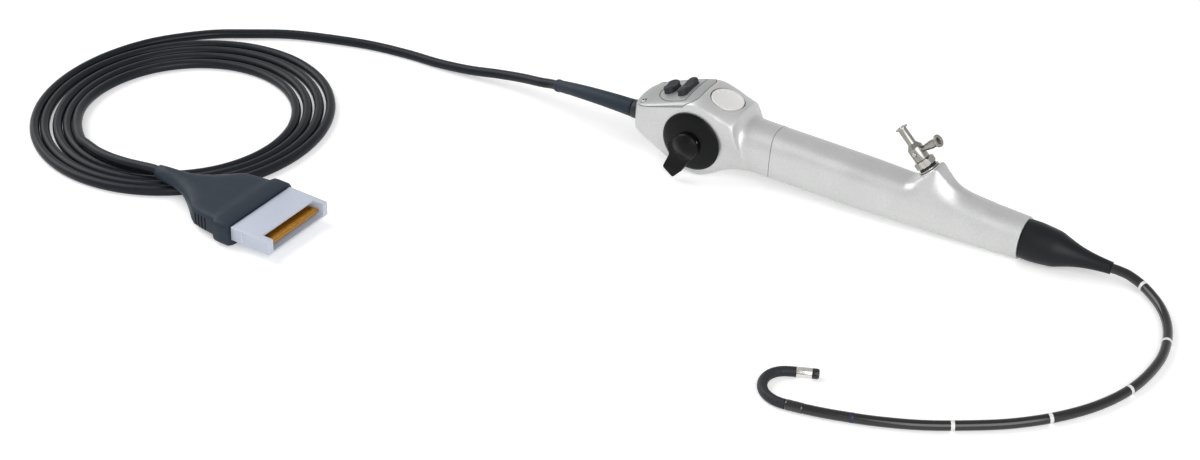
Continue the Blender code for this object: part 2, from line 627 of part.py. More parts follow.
def build_boot(handle, rubber):
    start = GRIP_END + SEAT_GAP
    end = GRIP_END + BOOT_LENGTH
    shoulder = start + BOOT_SHOULDER
    spigot = grip_radius(GRIP_END) - GRIP_WALL - 0.0009
    taper = end - shoulder
    fall = BOOT_START_RADIUS - BOOT_END_RADIUS
    outline = [(0, start - BOOT_SPIGOT), (spigot, start - BOOT_SPIGOT), (spigot, start), (BOOT_START_RADIUS, start),
               (BOOT_START_RADIUS - 0.0001, start + BOOT_SHOULDER * 0.5), (BOOT_START_RADIUS - 0.0005, start + BOOT_SHOULDER * 0.85)]
    for share, drop in ((0.08, 0.15), (0.20, 0.33), (0.35, 0.55), (0.50, 0.73), (0.68, 0.87), (0.86, 0.96), (1.0, 1.0)):
        outline.append((BOOT_START_RADIUS - fall * drop, shoulder + taper * share))
    outline.append((0, end))
    add_object("distal_boot", turned_mesh("distal_boot", outline), rubber, handle, rotation=(0, pi / 2, 0))


def build_lever(handle, black, steel, brass):
    """The lever's own frame has Z along its axle, out of the near side, and its origin on the side face."""
    near = place_empty("lever_joint", handle, (0, -HEAD_HALF_WIDTH, 0), (pi / 2, 0, 0))
    dome = turned_mesh("lever_dome", [
        (AXLE_RADIUS + RUNNING_GAP, SEAT_GAP), (DOME_RADIUS - 0.0004, SEAT_GAP), (DOME_RADIUS, SEAT_GAP + 0.0005),
        (DOME_RADIUS, DOME_RIM), (DOME_RADIUS * 0.86, DOME_RIM + 0.0006), (DOME_RADIUS * 0.6, DOME_HEIGHT - 0.0010),
        (HUB_RADIUS, DOME_HEIGHT), (AXLE_RADIUS + RUNNING_GAP, DOME_HEIGHT)], BODY_SIDES)
    add_object("lever_dome", dome, black, near)

    hub_low = DOME_HEIGHT + SEAT_GAP
    cheek = HUB_HEIGHT - HUB_RADIUS * 0.55
    hub = [(0, hub_low), (HUB_RADIUS, hub_low), (HUB_RADIUS, cheek)]
    for i in range(1, 6):
        turn = pi / 2 * i / 5
        hub.append((HUB_RADIUS * cos(turn) if i < 5 else 0, cheek + (HUB_HEIGHT - cheek) * sin(turn)))
    lever = add_object("lever", turned_mesh("lever", hub, ROUND_SIDES), black, near)
    middle = hub_low + PADDLE_THICKNESS / 2
    rings = []
    for reach, width, thickness, lift in ((0, HUB_RADIUS * 1.9, 0.90, 0), (0.35, HUB_RADIUS * 2.0, 0.94, 0),
                                          (0.60, HUB_RADIUS * 1.80, 1.0, 0.0002), (0.86, PADDLE_TIP_WIDTH * 1.1, 1.0, 0.0008),
                                          (1.0, PADDLE_TIP_WIDTH, 0.82, 0.0012)):
        ring = []
        for i in range(20):
            angle = 2 * pi * i / 20
            c, s = cos(angle), sin(angle)
            a = width / 2 * copysign(abs(c) ** 0.45, c)
            b = PADDLE_THICKNESS / 2 * thickness * copysign(abs(s) ** 0.45, s)
            ring.append(Vector((a, -PADDLE_REACH * reach, middle + lift + b)))
        rings.append(ring)
    join(lever, lofted_mesh("paddle", rings), near, rotation=(0, 0, -PADDLE_LEAN))
    cut(lever, rod_mesh("hub_bore", AXLE_RADIUS + RUNNING_GAP, hub_low - 0.001, cheek - 0.0006), near)
    pin_place, pin_turn = (0, 0, hub_low + 0.0016), (0, pi / 2, PIN_ANGLE)
    pin_hole = rod_mesh("pin_hole", PIN_RADIUS + RUNNING_GAP, AXLE_RADIUS - 0.0002, HUB_RADIUS + 0.002, 12)
    cut(lever, pin_hole, near, pin_place, pin_turn)
    pin = rod_mesh("lever_pin", PIN_RADIUS, AXLE_RADIUS + 2 * RUNNING_GAP, HUB_RADIUS + 0.0002, 12)
    add_object("lever_pin", pin, steel, near, pin_place, pin_turn)

    drum_top = -HEAD_WALL - BUSH_FLANGE - 3 * SEAT_GAP
    drum_low = drum_top - DRUM_WIDTH
    chassis_top = drum_low - SEAT_GAP
    chassis_low = chassis_top - CHASSIS_THICKNESS
    axle_low = chassis_low - 0.0010
    add_object("lever_axle", rod_mesh("lever_axle", AXLE_RADIUS, axle_low, cheek - 0.0008, 24), steel, near)
    flange_top = -HEAD_WALL - SEAT_GAP
    bush = turned_mesh("axle_bush", [
        (AXLE_RADIUS + RUNNING_GAP, flange_top - BUSH_FLANGE), (BUSH_FLANGE_RADIUS, flange_top - BUSH_FLANGE),
        (BUSH_FLANGE_RADIUS, flange_top), (BUSH_RADIUS, flange_top), (BUSH_RADIUS, 0), (AXLE_RADIUS + RUNNING_GAP, 0)], 24)
    add_object("axle_bush", bush, brass, place_empty("bush_seat", handle, (0, -HEAD_HALF_WIDTH, 0), (pi / 2, 0, 0)))
    groove = (drum_low + drum_top) / 2
    rim = DRUM_GROOVE
    drum = turned_mesh("wire_drum", [
        (AXLE_RADIUS + RUNNING_GAP, drum_low), (DRUM_RADIUS, drum_low), (DRUM_RADIUS, groove - rim * 1.4),
        (DRUM_RADIUS - rim, groove - rim * 0.5), (DRUM_RADIUS - rim, groove + rim * 0.5),
        (DRUM_RADIUS, groove + rim * 1.4), (DRUM_RADIUS, drum_top), (AXLE_RADIUS + RUNNING_GAP, drum_top)], ROUND_SIDES)
    add_object("wire_drum", drum, brass, near)
    return near, groove, (chassis_low, chassis_top)


def under(place, tilt, along, depth):
    """Point (x, z) below a button's seat, measured in the button's own tilted frame."""
    return (place[0] + along * cos(tilt[1]) - depth * sin(tilt[1]), place[2] - along * sin(tilt[1]) - depth * cos(tilt[1]))


def build_inside(handle, groove, chassis_span, aluminium, board, steel, plastic):
    """What the housings hold: the chassis, the switches on their boards, the pull wires and the channel."""
    low_y, high_y = -HEAD_HALF_WIDTH - chassis_span[1], -HEAD_HALF_WIDTH - chassis_span[0]
    switch_top = HEAD_WALL + BUTTON_LIP + BUTTON_SKIRT + BUTTON_TRAVEL + RUNNING_GAP
    board_top = switch_top + SWITCH_HEIGHT + SEAT_GAP
    board_low = board_top + BOARD_THICKNESS
    middle = (REAR_BUTTON_X + FRONT_BUTTON_X) / 2
    top_seat, round_seat = top_button_place(handle, middle), round_button_place(handle)
    edge = []
    for name, (_, place, tilt), length, width in (("switch_board", top_seat, SWITCH_BOARD_LENGTH, SWITCH_BOARD_WIDTH),
                                                  ("round_board", round_seat, ROUND_BOARD_SIZE, ROUND_BOARD_SIZE)):
        plate = box_mesh(name, (-length / 2, -width / 2, -board_low), (length / 2, width / 2, -board_top))
        add_object(name, plate, board, handle, place, tilt)
        edge += [under(place, tilt, way * length / 2, board_low + SEAT_GAP) for way in (-1, 1)]
    for name, (_, place, tilt) in (("rear_switch", top_button_place(handle, REAR_BUTTON_X)),
                                   ("front_switch", top_button_place(handle, FRONT_BUTTON_X)), ("round_switch", round_seat)):
        dome = turned_mesh(name, [(0, -switch_top - SWITCH_HEIGHT), (SWITCH_RADIUS, -switch_top - SWITCH_HEIGHT),
                                  (SWITCH_RADIUS, -switch_top - SWITCH_HEIGHT * 0.5), (SWITCH_RADIUS * 0.6, -switch_top),
                                  (0, -switch_top)], 16)
        add_object(name, dome, steel, handle, place, tilt)

    foot = edge[0][0]
    outline = [(foot, -CHASSIS_DEPTH), (HEAD_SHOULDER_X, -CHASSIS_DEPTH), (HEAD_SHOULDER_X + 0.004, -CHASSIS_TONGUE),
               (CHASSIS_END, -CHASSIS_TONGUE), (CHASSIS_END, CHASSIS_TONGUE), (edge[3][0], CHASSIS_TONGUE),
               edge[3], edge[2], edge[1], edge[0]]
    chassis = add_object("chassis", prism_mesh("chassis", outline, low_y, high_y), aluminium, handle)
    cut(chassis, rod_mesh("chassis_hole", AXLE_RADIUS + RUNNING_GAP, -0.004, 0.004), handle,
        (0, (low_y + high_y) / 2, 0), (pi / 2, 0, 0))
    image_x = AXLE_RADIUS + 0.004
    image = box_mesh("image_board", (image_x, high_y + SEAT_GAP, -IMAGE_BOARD_WIDTH / 2),
                     (image_x + IMAGE_BOARD_LENGTH, high_y + SEAT_GAP + BOARD_THICKNESS, IMAGE_BOARD_WIDTH / 2))
    add_object("image_board", image, board, handle)

    spigot_face = GRIP_END + SEAT_GAP - BOOT_SPIGOT - SEAT_GAP
    wire_y = -HEAD_HALF_WIDTH - groove
    reach = DRUM_RADIUS - DRUM_GROOVE + PULL_WIRE_RADIUS + BUTTON_GAP
    for side, name in ((1, "upper_pull_wire"), (-1, "lower_pull_wire")):
        route = ((0.0005, wire_y, side * reach), (0.012, wire_y, side * reach * 0.93),
                 (0.035, wire_y + 0.0012, side * reach * 0.76), (CHASSIS_END, wire_y + 0.0022, side * reach * 0.62),
                 (CHASSIS_END + 0.012, wire_y + 0.0030, side * reach * 0.58),
                 ((CHASSIS_END + spigot_face) / 2, wire_y * 0.45, side * reach * 0.42),
                 (spigot_face, wire_y * 0.38, side * reach * 0.36))
        cord(name, route, PULL_WIRE_RADIUS, steel, 0.012, handle, 1)
    down = -port_axis()
    stem_end = Vector((PORT_X, 0, PORT_HEIGHT)) + down * (STEM_DEPTH + SEAT_GAP)
    route = (stem_end, stem_end + down * 0.003, stem_end + down * 0.006 + Vector((0.0012, 0, 0.0003)),
             stem_end + Vector((0.010, 0, -0.0078)), stem_end + Vector((0.018, 0, -0.0098)), (spigot_face, 0, stem_end.z - 0.0102))
    cord("channel_tube", route, CHANNEL_TUBE_RADIUS, plastic, 0.004, handle, 1)


def smooth_route(points, spacing):
    """Evenly spaced points on a smooth curve through hand-chosen ones."""
    points = [Vector(p) for p in points]
    padded = [points[0] * 2 - points[1]] + points + [points[-1] * 2 - points[-2]]
    dense = []
    for a, b, c, d in zip(padded, padded[1:], padded[2:], padded[3:]):
        for i in range(24):
            t = i / 24
            dense.append(0.5 * ((2 * b) + (c - a) * t + (2 * a - 5 * b + 4 * c - d) * t * t
                                + (3 * b - a - 3 * c + d) * t ** 3))
    dense.append(points[-1])
    runs = [0.0]
    for p, q in zip(dense, dense[1:]):
        runs.append(runs[-1] + (q - p).length)
    count = max(2, round(runs[-1] / spacing))
    result, at = [], 0
    for i in range(count + 1):
        goal = runs[-1] * i / count
        while at < len(runs) - 2 and runs[at + 1] < goal:
            at += 1
        share = (goal - runs[at]) / max(runs[at + 1] - runs[at], 1e-9)
        result.append(dense[at].lerp(dense[at + 1], min(max(share, 0), 1)))
    return result


def cord(name, route, radius, material, spacing, parent=None, fineness=2):
    """A plain round cord along its route, with closed ends."""
    curve = bpy.data.curves.new(name, "CURVE")
    curve.dimensions = "3D"
    curve.bevel_depth = radius
    curve.bevel_resolution = fineness
    curve.use_fill_caps = True
    points = smooth_route(route, spacing)
    spline = curve.splines.new("POLY")
    spline.points.add(len(points) - 1)
    for target, point in zip(spline.points, points):
        target.co = (*point, 1)
    return add_object(name, curve, material, parent)


def handle_point(x, y, z):
    """World place of a point in the handle's frame."""
    turn = Matrix.Rotation(HANDLE_SLOPE, 4, "Y")
    return Matrix.Translation((HANDLE_X, HANDLE_Y, HANDLE_HEIGHT)) @ turn @ Vector((x, y, z))


def moved(origin, route):
    """The route's points, moved along the table from the given origin."""
    return [Vector((origin.x + x, origin.y + y, z)) for x, y, z in route]


def tube_route():
    mouth = handle_point(BOOT_END + SEAT_GAP, 0, 0)
    return [mouth, handle_point(BOOT_END + SEAT_GAP + 0.004, 0, 0), *moved(mouth, TUBE_ROUTE)]


def build_bending(rubber, steel):
    """The binding, then a chain of links, each hinged on the one before about a vertical axis."""
    base = place_empty("tip_base", None, tube_route()[-1], (0, 0, TIP_HEADING))
    binding = turned_mesh("tube_binding", [(0, SEAT_GAP), (BINDING_RADIUS - 0.0002, SEAT_GAP), (BINDING_RADIUS, 0.0009),
                                           (BINDING_RADIUS, BINDING_LENGTH - 0.0009), (BINDING_RADIUS - 0.0002, BINDING_LENGTH),
                                           (0, BINDING_LENGTH)], 24)
    add_object("tube_binding", binding, rubber, base, rotation=(0, pi / 2, 0))
    first = BINDING_LENGTH + SEAT_GAP + BASE_LINK_LENGTH
    frames = [base]
    for i in range(LINKS):
        along = first if i == 0 else LINK_PITCH
        frames.append(place_empty(f"bend_joint_{i + 1}", frames[-1], (along, 0, 0), (0, 0, -REST_BEND * BEND_SHARES[i])))
    for i, frame in enumerate(frames):
        name = "base_link" if i == 0 else f"bending_link_{i}"
        before = BEND_SHARES[i - 1] if i else 0
        after = BEND_SHARES[i] if i < LINKS else 0
        start = BINDING_LENGTH + SEAT_GAP if i == 0 else LINK_GAP / 2
        end = first if i == 0 else LINK_PITCH if i < LINKS else SLEEVE_STANDOFF - SEAT_GAP
        build_link(name, frame, start, end, before, after, steel)
    rings = rubber_rings(frames_path(first))
    add_object("bending_rubber", lofted_mesh("bending_rubber", rings, caps=False, smooth_angle=60), rubber, base)
    return frames


def build_link(name, frame, start, end, before, after, steel):
    """A ring with its ends cut back for the bend, a round knuckle at its back and a seat for the next one's."""
    wall = ring_mesh(name, LINK_RADIUS - LINK_WALL, LINK_RADIUS, start, end, LINK_SIDES)
    wall.transform(Matrix.Rotation(pi / 2, 4, "Y"))
    link = add_object(name, wall, steel, frame)
    tall = LINK_RADIUS + 0.001
    for share, at, way in ((before, 0, -1), (after, end, 1)):
        back = LINK_GAP / 2 + tall * tan(FULL_BEND * share / 2 + LINK_SLACK)
        if share:
            wedge = [(at - way * LINK_GAP / 2, 0), (at - way * back, tall), (at + way * 0.002, tall),
                     (at + way * 0.002, -tall), (at - way * back, -tall)]
            cut(link, prism_mesh(f"{name}_wedge_{way}", wedge, -tall, tall, "Z"), frame)
    if before:
        hoop = ring_mesh(f"{name}_hoop", LINK_RADIUS - LINK_WALL, LINK_RADIUS, -KNUCKLE_RADIUS - 0.0002, KNUCKLE_RADIUS + 0.0002, LINK_SIDES)
        hoop.transform(Matrix.Rotation(pi / 2, 4, "Y"))
        knuckle = add_object(f"form_{name}_knuckle", hoop, None, frame)
        disc = add_object(f"form_{name}_disc", rod_mesh(f"{name}_disc", KNUCKLE_RADIUS, -tall, tall, KNUCKLE_SIDES), None, frame)
        add_modifier_boolean(knuckle, disc, "INTERSECT")
        add_modifier_boolean(link, knuckle, "UNION")
    if after:
        cut(link, rod_mesh(f"{name}_seat", KNUCKLE_RADIUS + KNUCKLE_GAP, -tall, tall, KNUCKLE_SIDES), frame, (end, 0, 0))


def frames_path(first):
    """Centre line of the bending section in the base's frame: points and headings at hinges and mid-links."""
    stations = [(Vector((BINDING_LENGTH + SEAT_GAP, 0, 0)), 0.0)]
    place, heading = Vector((first, 0, 0)), 0.0
    for i in range(LINKS):
        turn = -REST_BEND * BEND_SHARES[i]
        stations.append((place.copy(), heading + turn / 2))
        heading += turn
        onward = Vector((cos(heading), sin(heading), 0))
        length = LINK_PITCH if i < LINKS - 1 else SLEEVE_STANDOFF
        if i < LINKS - 1:
            stations.append((place + onward * length / 2, heading))
        place = place + onward * length
    stations.append((place - onward * SEAT_GAP, heading))
    return stations


def rubber_rings(stations, sides=12):
    """Outer rings out along the stations, then inner rings back, so that the tube's skin closes."""
    def ring(place, heading, radius):
        across = Vector((-sin(heading), cos(heading), 0))
        return [place + across * (radius * cos(2 * pi * k / sides)) + Vector((0, 0, radius * sin(2 * pi * k / sides)))
                for k in range(sides)]
    outer = [ring(place, heading, RUBBER_RADIUS) for place, heading in stations]
    inner = [ring(place, heading, RUBBER_RADIUS - RUBBER_WALL) for place, heading in reversed(stations)]
    return outer + inner


def build_tip(frame, steel, black, glass, light):
    """Distal head: a steel sleeve round a black insert with the lens, two light windows and the channel."""
    start = SLEEVE_STANDOFF
    end = start + SLEEVE_LENGTH
    turn = (0, pi / 2, 0)
    core = SLEEVE_RADIUS - 0.0003
    add_object("tip_sleeve", ring_mesh("tip_sleeve", core, SLEEVE_RADIUS, start, end), steel, frame, rotation=turn)
    front = end + INSERT_LENGTH
    insert = turned_mesh("tip_insert", [(0, start + 0.0003), (core - RUNNING_GAP, start + 0.0003), (core - RUNNING_GAP, end + RUNNING_GAP),
                                        (SLEEVE_RADIUS - 0.0001, end + RUNNING_GAP), (SLEEVE_RADIUS - 0.0001, front - 0.0009),
                                        (SLEEVE_RADIUS - 0.0008, front), (0, front)], ROUND_SIDES)
    insert = add_object("tip_insert", insert, black, frame, rotation=turn)
    lens_at, light_at, channel_at = (0.00095, 0), (0.0008, 0.0016), (-0.00115, 0)
    sink = 0.0012
    cut(insert, rod_mesh("lens_seat", LENS_RADIUS + RUNNING_GAP, front - sink, front + 0.001), frame, (0, lens_at[1], lens_at[0]), turn)
    add_object("objective_lens", turned_mesh("objective_lens", [
        (0, front - sink + RUNNING_GAP), (LENS_RADIUS, front - sink + RUNNING_GAP), (LENS_RADIUS, front - 0.0003),
        (LENS_RADIUS * 0.6, front - 0.00008), (0, front)], 20), glass, frame, (0, lens_at[1], lens_at[0]), turn)
    cut(insert, rod_mesh("channel_mouth", CHANNEL_RADIUS, front - 0.0060, front + 0.001), frame, (0, channel_at[1], channel_at[0]), turn)
    for side, name in ((-1, "light_window_left"), (1, "light_window_right")):
        place = (0, side * light_at[1], light_at[0])
        cut(insert, rod_mesh(f"{name}_seat", LIGHT_RADIUS + RUNNING_GAP, front - sink, front + 0.001, 12), frame, place, turn)
        add_object(name, rod_mesh(name, LIGHT_RADIUS, front - sink + RUNNING_GAP, front, 12), light, frame, place, turn)


def build_buttons(handle, rubber, silver):
    for name, x, length, width in (("rear_button", REAR_BUTTON_X, REAR_BUTTON_LENGTH, REAR_BUTTON_WIDTH),
                                   ("front_button", FRONT_BUTTON_X, FRONT_BUTTON_LENGTH, FRONT_BUTTON_WIDTH)):
        parent, place, tilt = top_button_place(handle, x)
        frame = place_empty(f"{name}_slide", parent, place, tilt)
        cap = prism_mesh(name, stadium(length, width), -HEAD_WALL - BUTTON_LIP - BUTTON_SKIRT / 2, BUTTON_HEIGHT, "Z")
        button = add_object(name, cap, rubber, frame)
        lip = prism_mesh(f"{name}_lip", stadium(length - BUTTON_LIP, width + 2 * BUTTON_LIP),
                         -HEAD_WALL - BUTTON_LIP - BUTTON_SKIRT, -HEAD_WALL - BUTTON_LIP, "Z")
        join(button, lip, frame)
    parent, place, tilt = round_button_place(handle)
    frame = place_empty("round_button_slide", parent, place, tilt)
    lip_radius = ROUND_BUTTON_RADIUS + BUTTON_LIP * 0.6
    cap = turned_mesh("round_button", [
        (0, -HEAD_WALL - BUTTON_LIP - BUTTON_SKIRT), (lip_radius, -HEAD_WALL - BUTTON_LIP - BUTTON_SKIRT),
        (lip_radius, -HEAD_WALL - BUTTON_LIP), (ROUND_BUTTON_RADIUS, -HEAD_WALL - BUTTON_LIP),
        (ROUND_BUTTON_RADIUS, 0), (ROUND_BUTTON_RADIUS * 0.93, ROUND_BUTTON_HEIGHT * 0.5),
        (ROUND_BUTTON_RADIUS * 0.6, ROUND_BUTTON_HEIGHT), (0, ROUND_BUTTON_HEIGHT)], ROUND_SIDES)
    add_object("round_button", cap, silver, frame)


def build_cable(handle, slate, dark):
    seat = place_empty("cable_exit", handle, (0, 0, -CABLE_DROP), (0, -pi / 2, 0))
    add_object("cable_gland", ring_mesh("cable_gland", CABLE_RADIUS + SEAT_GAP, GLAND_RADIUS, -HEAD_REAR + SEAT_GAP,
                                        -HEAD_REAR + SEAT_GAP + GLAND_THICKNESS), dark, seat)
    rings = []
    for place, way, radius in relief_path(HEAD_REAR - GLAND_THICKNESS - 2 * SEAT_GAP):
        up = Vector((0, 0, 1))
        across = way.cross(up).normalized()
        up = across.cross(way).normalized()
        rings.append([place + across * (radius * cos(2 * pi * k / 16)) + up * (radius * sin(2 * pi * k / 16)) for k in range(16)])
    add_object("strain_relief", lofted_mesh("strain_relief", rings), slate, None)


def relief_path(start):
    """World places, directions and radii along the strain relief, which bends as it leaves the head."""
    steps = 6
    place = handle_point(start, 0, -CABLE_DROP)
    way = (handle_point(-1, 0, 0) - handle_point(0, 0, 0)).normalized()
    path = [(place.copy(), way.copy(), RELIEF_START_RADIUS)]
    rise, heading = HANDLE_SLOPE, pi
    for i in range(steps):
        heading -= RELIEF_TURN / steps
        rise -= (RELIEF_DIP + HANDLE_SLOPE) / steps
        way = Vector((cos(rise) * cos(heading), cos(rise) * sin(heading), sin(rise)))
        place = place + way * (RELIEF_LENGTH / steps)
        share = (i + 1) / steps
        path.append((place.copy(), way.copy(), RELIEF_START_RADIUS + (RELIEF_END_RADIUS - RELIEF_START_RADIUS) * share))
    return path


def relief_end():
    end, way, _ = relief_path(HEAD_REAR - GLAND_THICKNESS - 2 * SEAT_GAP)[-1]
    return end, way


def build_lead(slate):
    end, way = relief_end()
    cord("cable_lead", [end + way * SEAT_GAP, end + way * (SEAT_GAP + 0.006), *moved(end, LEAD_ROUTE)], CABLE_RADIUS, slate, 0.0080)
    low, high = 0.0, 2 * CABLE_RADIUS
    soft = CABLE_RADIUS * 0.6
    coil = turned_mesh("cable_coil", [
        (COIL_INNER_RADIUS + soft, low), (COIL_OUTER_RADIUS - soft, low), (COIL_OUTER_RADIUS, low + soft),
        (COIL_OUTER_RADIUS, high - soft), (COIL_OUTER_RADIUS - soft, high), (COIL_INNER_RADIUS + soft, high),
        (COIL_INNER_RADIUS, high - soft), (COIL_INNER_RADIUS, low + soft)], 44)
    add_object("cable_coil", coil, slate, None, moved(end, ((*COIL_CENTRE, 0),))[0])
    neck = moved(end, (PLUG_PLACE,))[0]
    way = Matrix.Rotation(PLUG_HEADING, 3, "Z") @ Matrix.Rotation(PLUG_DIP, 3, "Y") @ Vector((1, 0, 0))
    cord("cable_tail", [*moved(end, TAIL_ROUTE), neck - way * 0.006, neck - way * SEAT_GAP], CABLE_RADIUS, slate, 0.0080)


def build_plug(slate, white, gold, dark):
    plug = place_empty("plug", None, moved(relief_end()[0], (PLUG_PLACE,))[0], (0, PLUG_DIP, PLUG_HEADING))
    rings = []
    collar = PLUG_COLLAR_X
    for x, width, height, n in ((0, PLUG_NECK_RADIUS, PLUG_NECK_RADIUS, 2.0), (0.010, PLUG_NECK_RADIUS + 0.0008, PLUG_NECK_RADIUS, 2.0),
                                (0.020, PLUG_NECK_RADIUS + 0.0035, PLUG_NECK_RADIUS, 2.2), (0.032, 0.0135, 0.0052, 2.6),
                                (0.044, 0.0200, 0.0056, 3.2), (0.054, 0.0245, 0.0060, 4.0),
                                (collar, PLUG_COLLAR_HALF_WIDTH, PLUG_COLLAR_HALF_HEIGHT, 5.0),
                                (collar + PLUG_COLLAR_LENGTH, PLUG_COLLAR_HALF_WIDTH, PLUG_COLLAR_HALF_HEIGHT, 6.0)):
        rings.append(rounded_section(x, width, height, height, n, 24))
    add_object("plug_overmould", lofted_mesh("plug_overmould", rings), slate, plug)
    back = collar + PLUG_COLLAR_LENGTH + SEAT_GAP
    front = back + SHELL_LENGTH
    half, tall, room = SHELL_HALF_WIDTH, SHELL_HALF_HEIGHT, SHELL_SLOT_HALF_WIDTH
    shell = add_object("plug_shell", box_mesh("plug_shell", (back, -half, -tall), (front, half, tall), 0.0004, 1), white, plug)
    slot_low = front - SHELL_SLOT_DEPTH
    cut(shell, box_mesh("shell_slot", (slot_low, -room, -tall + SHELL_WALL), (front + 0.002, room, tall - SHELL_WALL)), plug)
    cut(shell, box_mesh("shell_mouth", (front - MOUTH_LENGTH, -room, 0), (front + 0.002, room, tall + 0.002)), plug)
    inner, block_front = room - SEAT_GAP, slot_low + CONTACT_BLOCK_LENGTH
    add_object("contact_block", box_mesh("contact_block", (slot_low + SEAT_GAP, -inner, -tall + SHELL_WALL + SEAT_GAP),
                                         (block_front, inner, tall - SHELL_WALL - SEAT_GAP)), dark, plug)
    tongue = room - TONGUE_SIDE_GAP
    add_object("contact_tongue", box_mesh("contact_tongue", (block_front + SEAT_GAP, -tongue, -TONGUE_THICKNESS / 2),
                                          (front - TONGUE_SETBACK, tongue, TONGUE_THICKNESS / 2)), gold, plug)


def build():
    clear_scene()
    paint = finish("silver_lacquer", (0.55, 0.56, 0.56), 0.38, 0.6)
    cover_paint = finish("grey_lacquer", (0.38, 0.39, 0.39), 0.40, 0.6)
    steel = finish("polished_steel", (0.62, 0.61, 0.59), 0.18, 1.0)
    dark_steel = finish("dull_steel", (0.35, 0.35, 0.34), 0.35, 1.0)
    black = finish("black_plastic", (0.012, 0.012, 0.013), 0.45)
    rubber = finish("black_rubber", (0.015, 0.016, 0.018), 0.60)
    tube_skin = finish("black_sheath", (0.010, 0.010, 0.011), 0.25)
    slate = finish("slate_cable", (0.022, 0.028, 0.036), 0.50)
    brass = finish("brass", (0.55, 0.40, 0.16), 0.35, 1.0)
    aluminium = finish("aluminium", (0.70, 0.71, 0.72), 0.40, 1.0)
    board = finish("circuit_board", (0.02, 0.12, 0.05), 0.50)
    white = finish("white_plastic", (0.62, 0.64, 0.75), 0.45)
    gold = finish("gold_contacts", (0.75, 0.48, 0.12), 0.30, 1.0)
    glass = finish("lens_glass", (0.05, 0.06, 0.09), 0.05)
    light = finish("light_window", (0.80, 0.82, 0.78), 0.20)
    handle = place_empty("handle", None, (HANDLE_X, HANDLE_Y, HANDLE_HEIGHT), (0, HANDLE_SLOPE, 0))
    build_head(handle, paint, cover_paint, steel)
    build_grip(handle, paint)
    build_port(handle, steel, dark_steel, rubber)
    build_boot(handle, rubber)
    near, groove, chassis_span = build_lever(handle, black, steel, brass)
    build_inside(handle, groove, chassis_span, aluminium, board, steel, black)
    build_buttons(handle, rubber, aluminium)
    cord("insertion_tube", tube_route(), TUBE_RADIUS, tube_skin, 0.0080)
    frames = build_bending(rubber, steel)
    build_tip(frames[-1], steel, black, glass, light)
    build_cable(handle, slate, dark_steel)
    build_lead(slate)
    build_plug(slate, white, gold, black)


build()
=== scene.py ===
"""A flexible endoscope with its video cable and connector, laid out on a pale table."""

import json
from math import atan, atan2, copysign, cos, pi, radians, sin

import bmesh
import bpy
from mathutils import Matrix, Vector


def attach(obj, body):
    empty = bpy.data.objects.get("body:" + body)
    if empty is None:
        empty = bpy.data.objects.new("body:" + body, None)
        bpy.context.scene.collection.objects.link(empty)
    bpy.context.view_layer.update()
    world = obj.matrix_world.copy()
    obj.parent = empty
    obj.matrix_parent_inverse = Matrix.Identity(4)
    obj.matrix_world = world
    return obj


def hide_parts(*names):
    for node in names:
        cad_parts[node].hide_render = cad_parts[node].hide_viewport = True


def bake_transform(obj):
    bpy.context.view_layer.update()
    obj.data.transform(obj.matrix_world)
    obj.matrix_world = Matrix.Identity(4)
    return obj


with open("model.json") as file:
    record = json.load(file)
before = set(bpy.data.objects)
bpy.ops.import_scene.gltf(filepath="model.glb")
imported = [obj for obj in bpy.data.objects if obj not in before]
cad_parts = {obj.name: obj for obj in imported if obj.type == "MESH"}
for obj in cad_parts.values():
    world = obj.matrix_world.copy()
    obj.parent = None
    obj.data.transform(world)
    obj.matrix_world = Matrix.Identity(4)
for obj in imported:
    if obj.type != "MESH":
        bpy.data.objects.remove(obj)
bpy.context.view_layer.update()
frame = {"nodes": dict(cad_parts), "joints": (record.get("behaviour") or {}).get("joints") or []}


# The view. An 80 mm lens looks down on the instrument from the right, 33 degrees above the table.
lens_mm = 80
sensor_mm = 36
camera_place = Vector((0.5036, -1.1693, 0.8002))
camera_aim = Vector((-0.1181, -0.0869, 0.0))
camera = bpy.data.objects.new("camera", bpy.data.cameras.new("camera"))
camera.data.lens = lens_mm
camera.data.sensor_width = sensor_mm
camera.location = camera_place
camera.rotation_euler = (camera_aim - camera_place).to_track_quat("-Z", "Y").to_euler()
bpy.context.scene.collection.objects.link(camera)
bpy.context.scene.camera = camera
bpy.context.scene.view_settings.view_transform = "Standard"


# The table and the light. A pale matt top takes a faint shadow, and two wide soft lamps stand over it. The
# white room, grey overhead, shows to the camera, in gloss and through glass, and lights the scene softly.
table_size = 8.0
table_colour = "#F2F2F2"
table_glow = 0.36
room_light = 0.42
ceiling_grey = 0.60
lamps = (("key_lamp", (1.25, -1.35, 1.20), 1.8, 34.0), ("left_lamp", (-1.60, -0.10, 1.35), 1.6, 24.0))


def linear(code):
    """Linear red, green, blue and alpha of an sRGB hex colour."""
    parts = [int(code[i:i + 2], 16) / 255 for i in (1, 3, 5)]
    return (*[c / 12.92 if c <= 0.04045 else ((c + 0.055) / 1.055) ** 2.4 for c in parts], 1.0)


def add_node(tree, kind, inputs=None, **settings):
    """A new node with its settings, and its sockets by name or number, each given a value or a link."""
    made = tree.nodes.new(f"ShaderNode{kind}")
    for name, value in settings.items():
        setattr(made, name, value)
    for name, value in (inputs or {}).items():
        if isinstance(value, bpy.types.NodeSocket):
            tree.links.new(value, made.inputs[name])
        else:
            made.inputs[name].default_value = value
    return made


def seen_rays(tree):
    """One where the camera, a reflection or a view through glass meets the surface."""
    rays = add_node(tree, "LightPath")
    gloss = add_node(tree, "Math", {0: rays.outputs["Is Camera Ray"], 1: rays.outputs["Is Glossy Ray"]},
                     operation="MAXIMUM")
    return add_node(tree, "Math", {0: gloss.outputs[0], 1: rays.outputs["Is Transmission Ray"]},
                    operation="MAXIMUM")


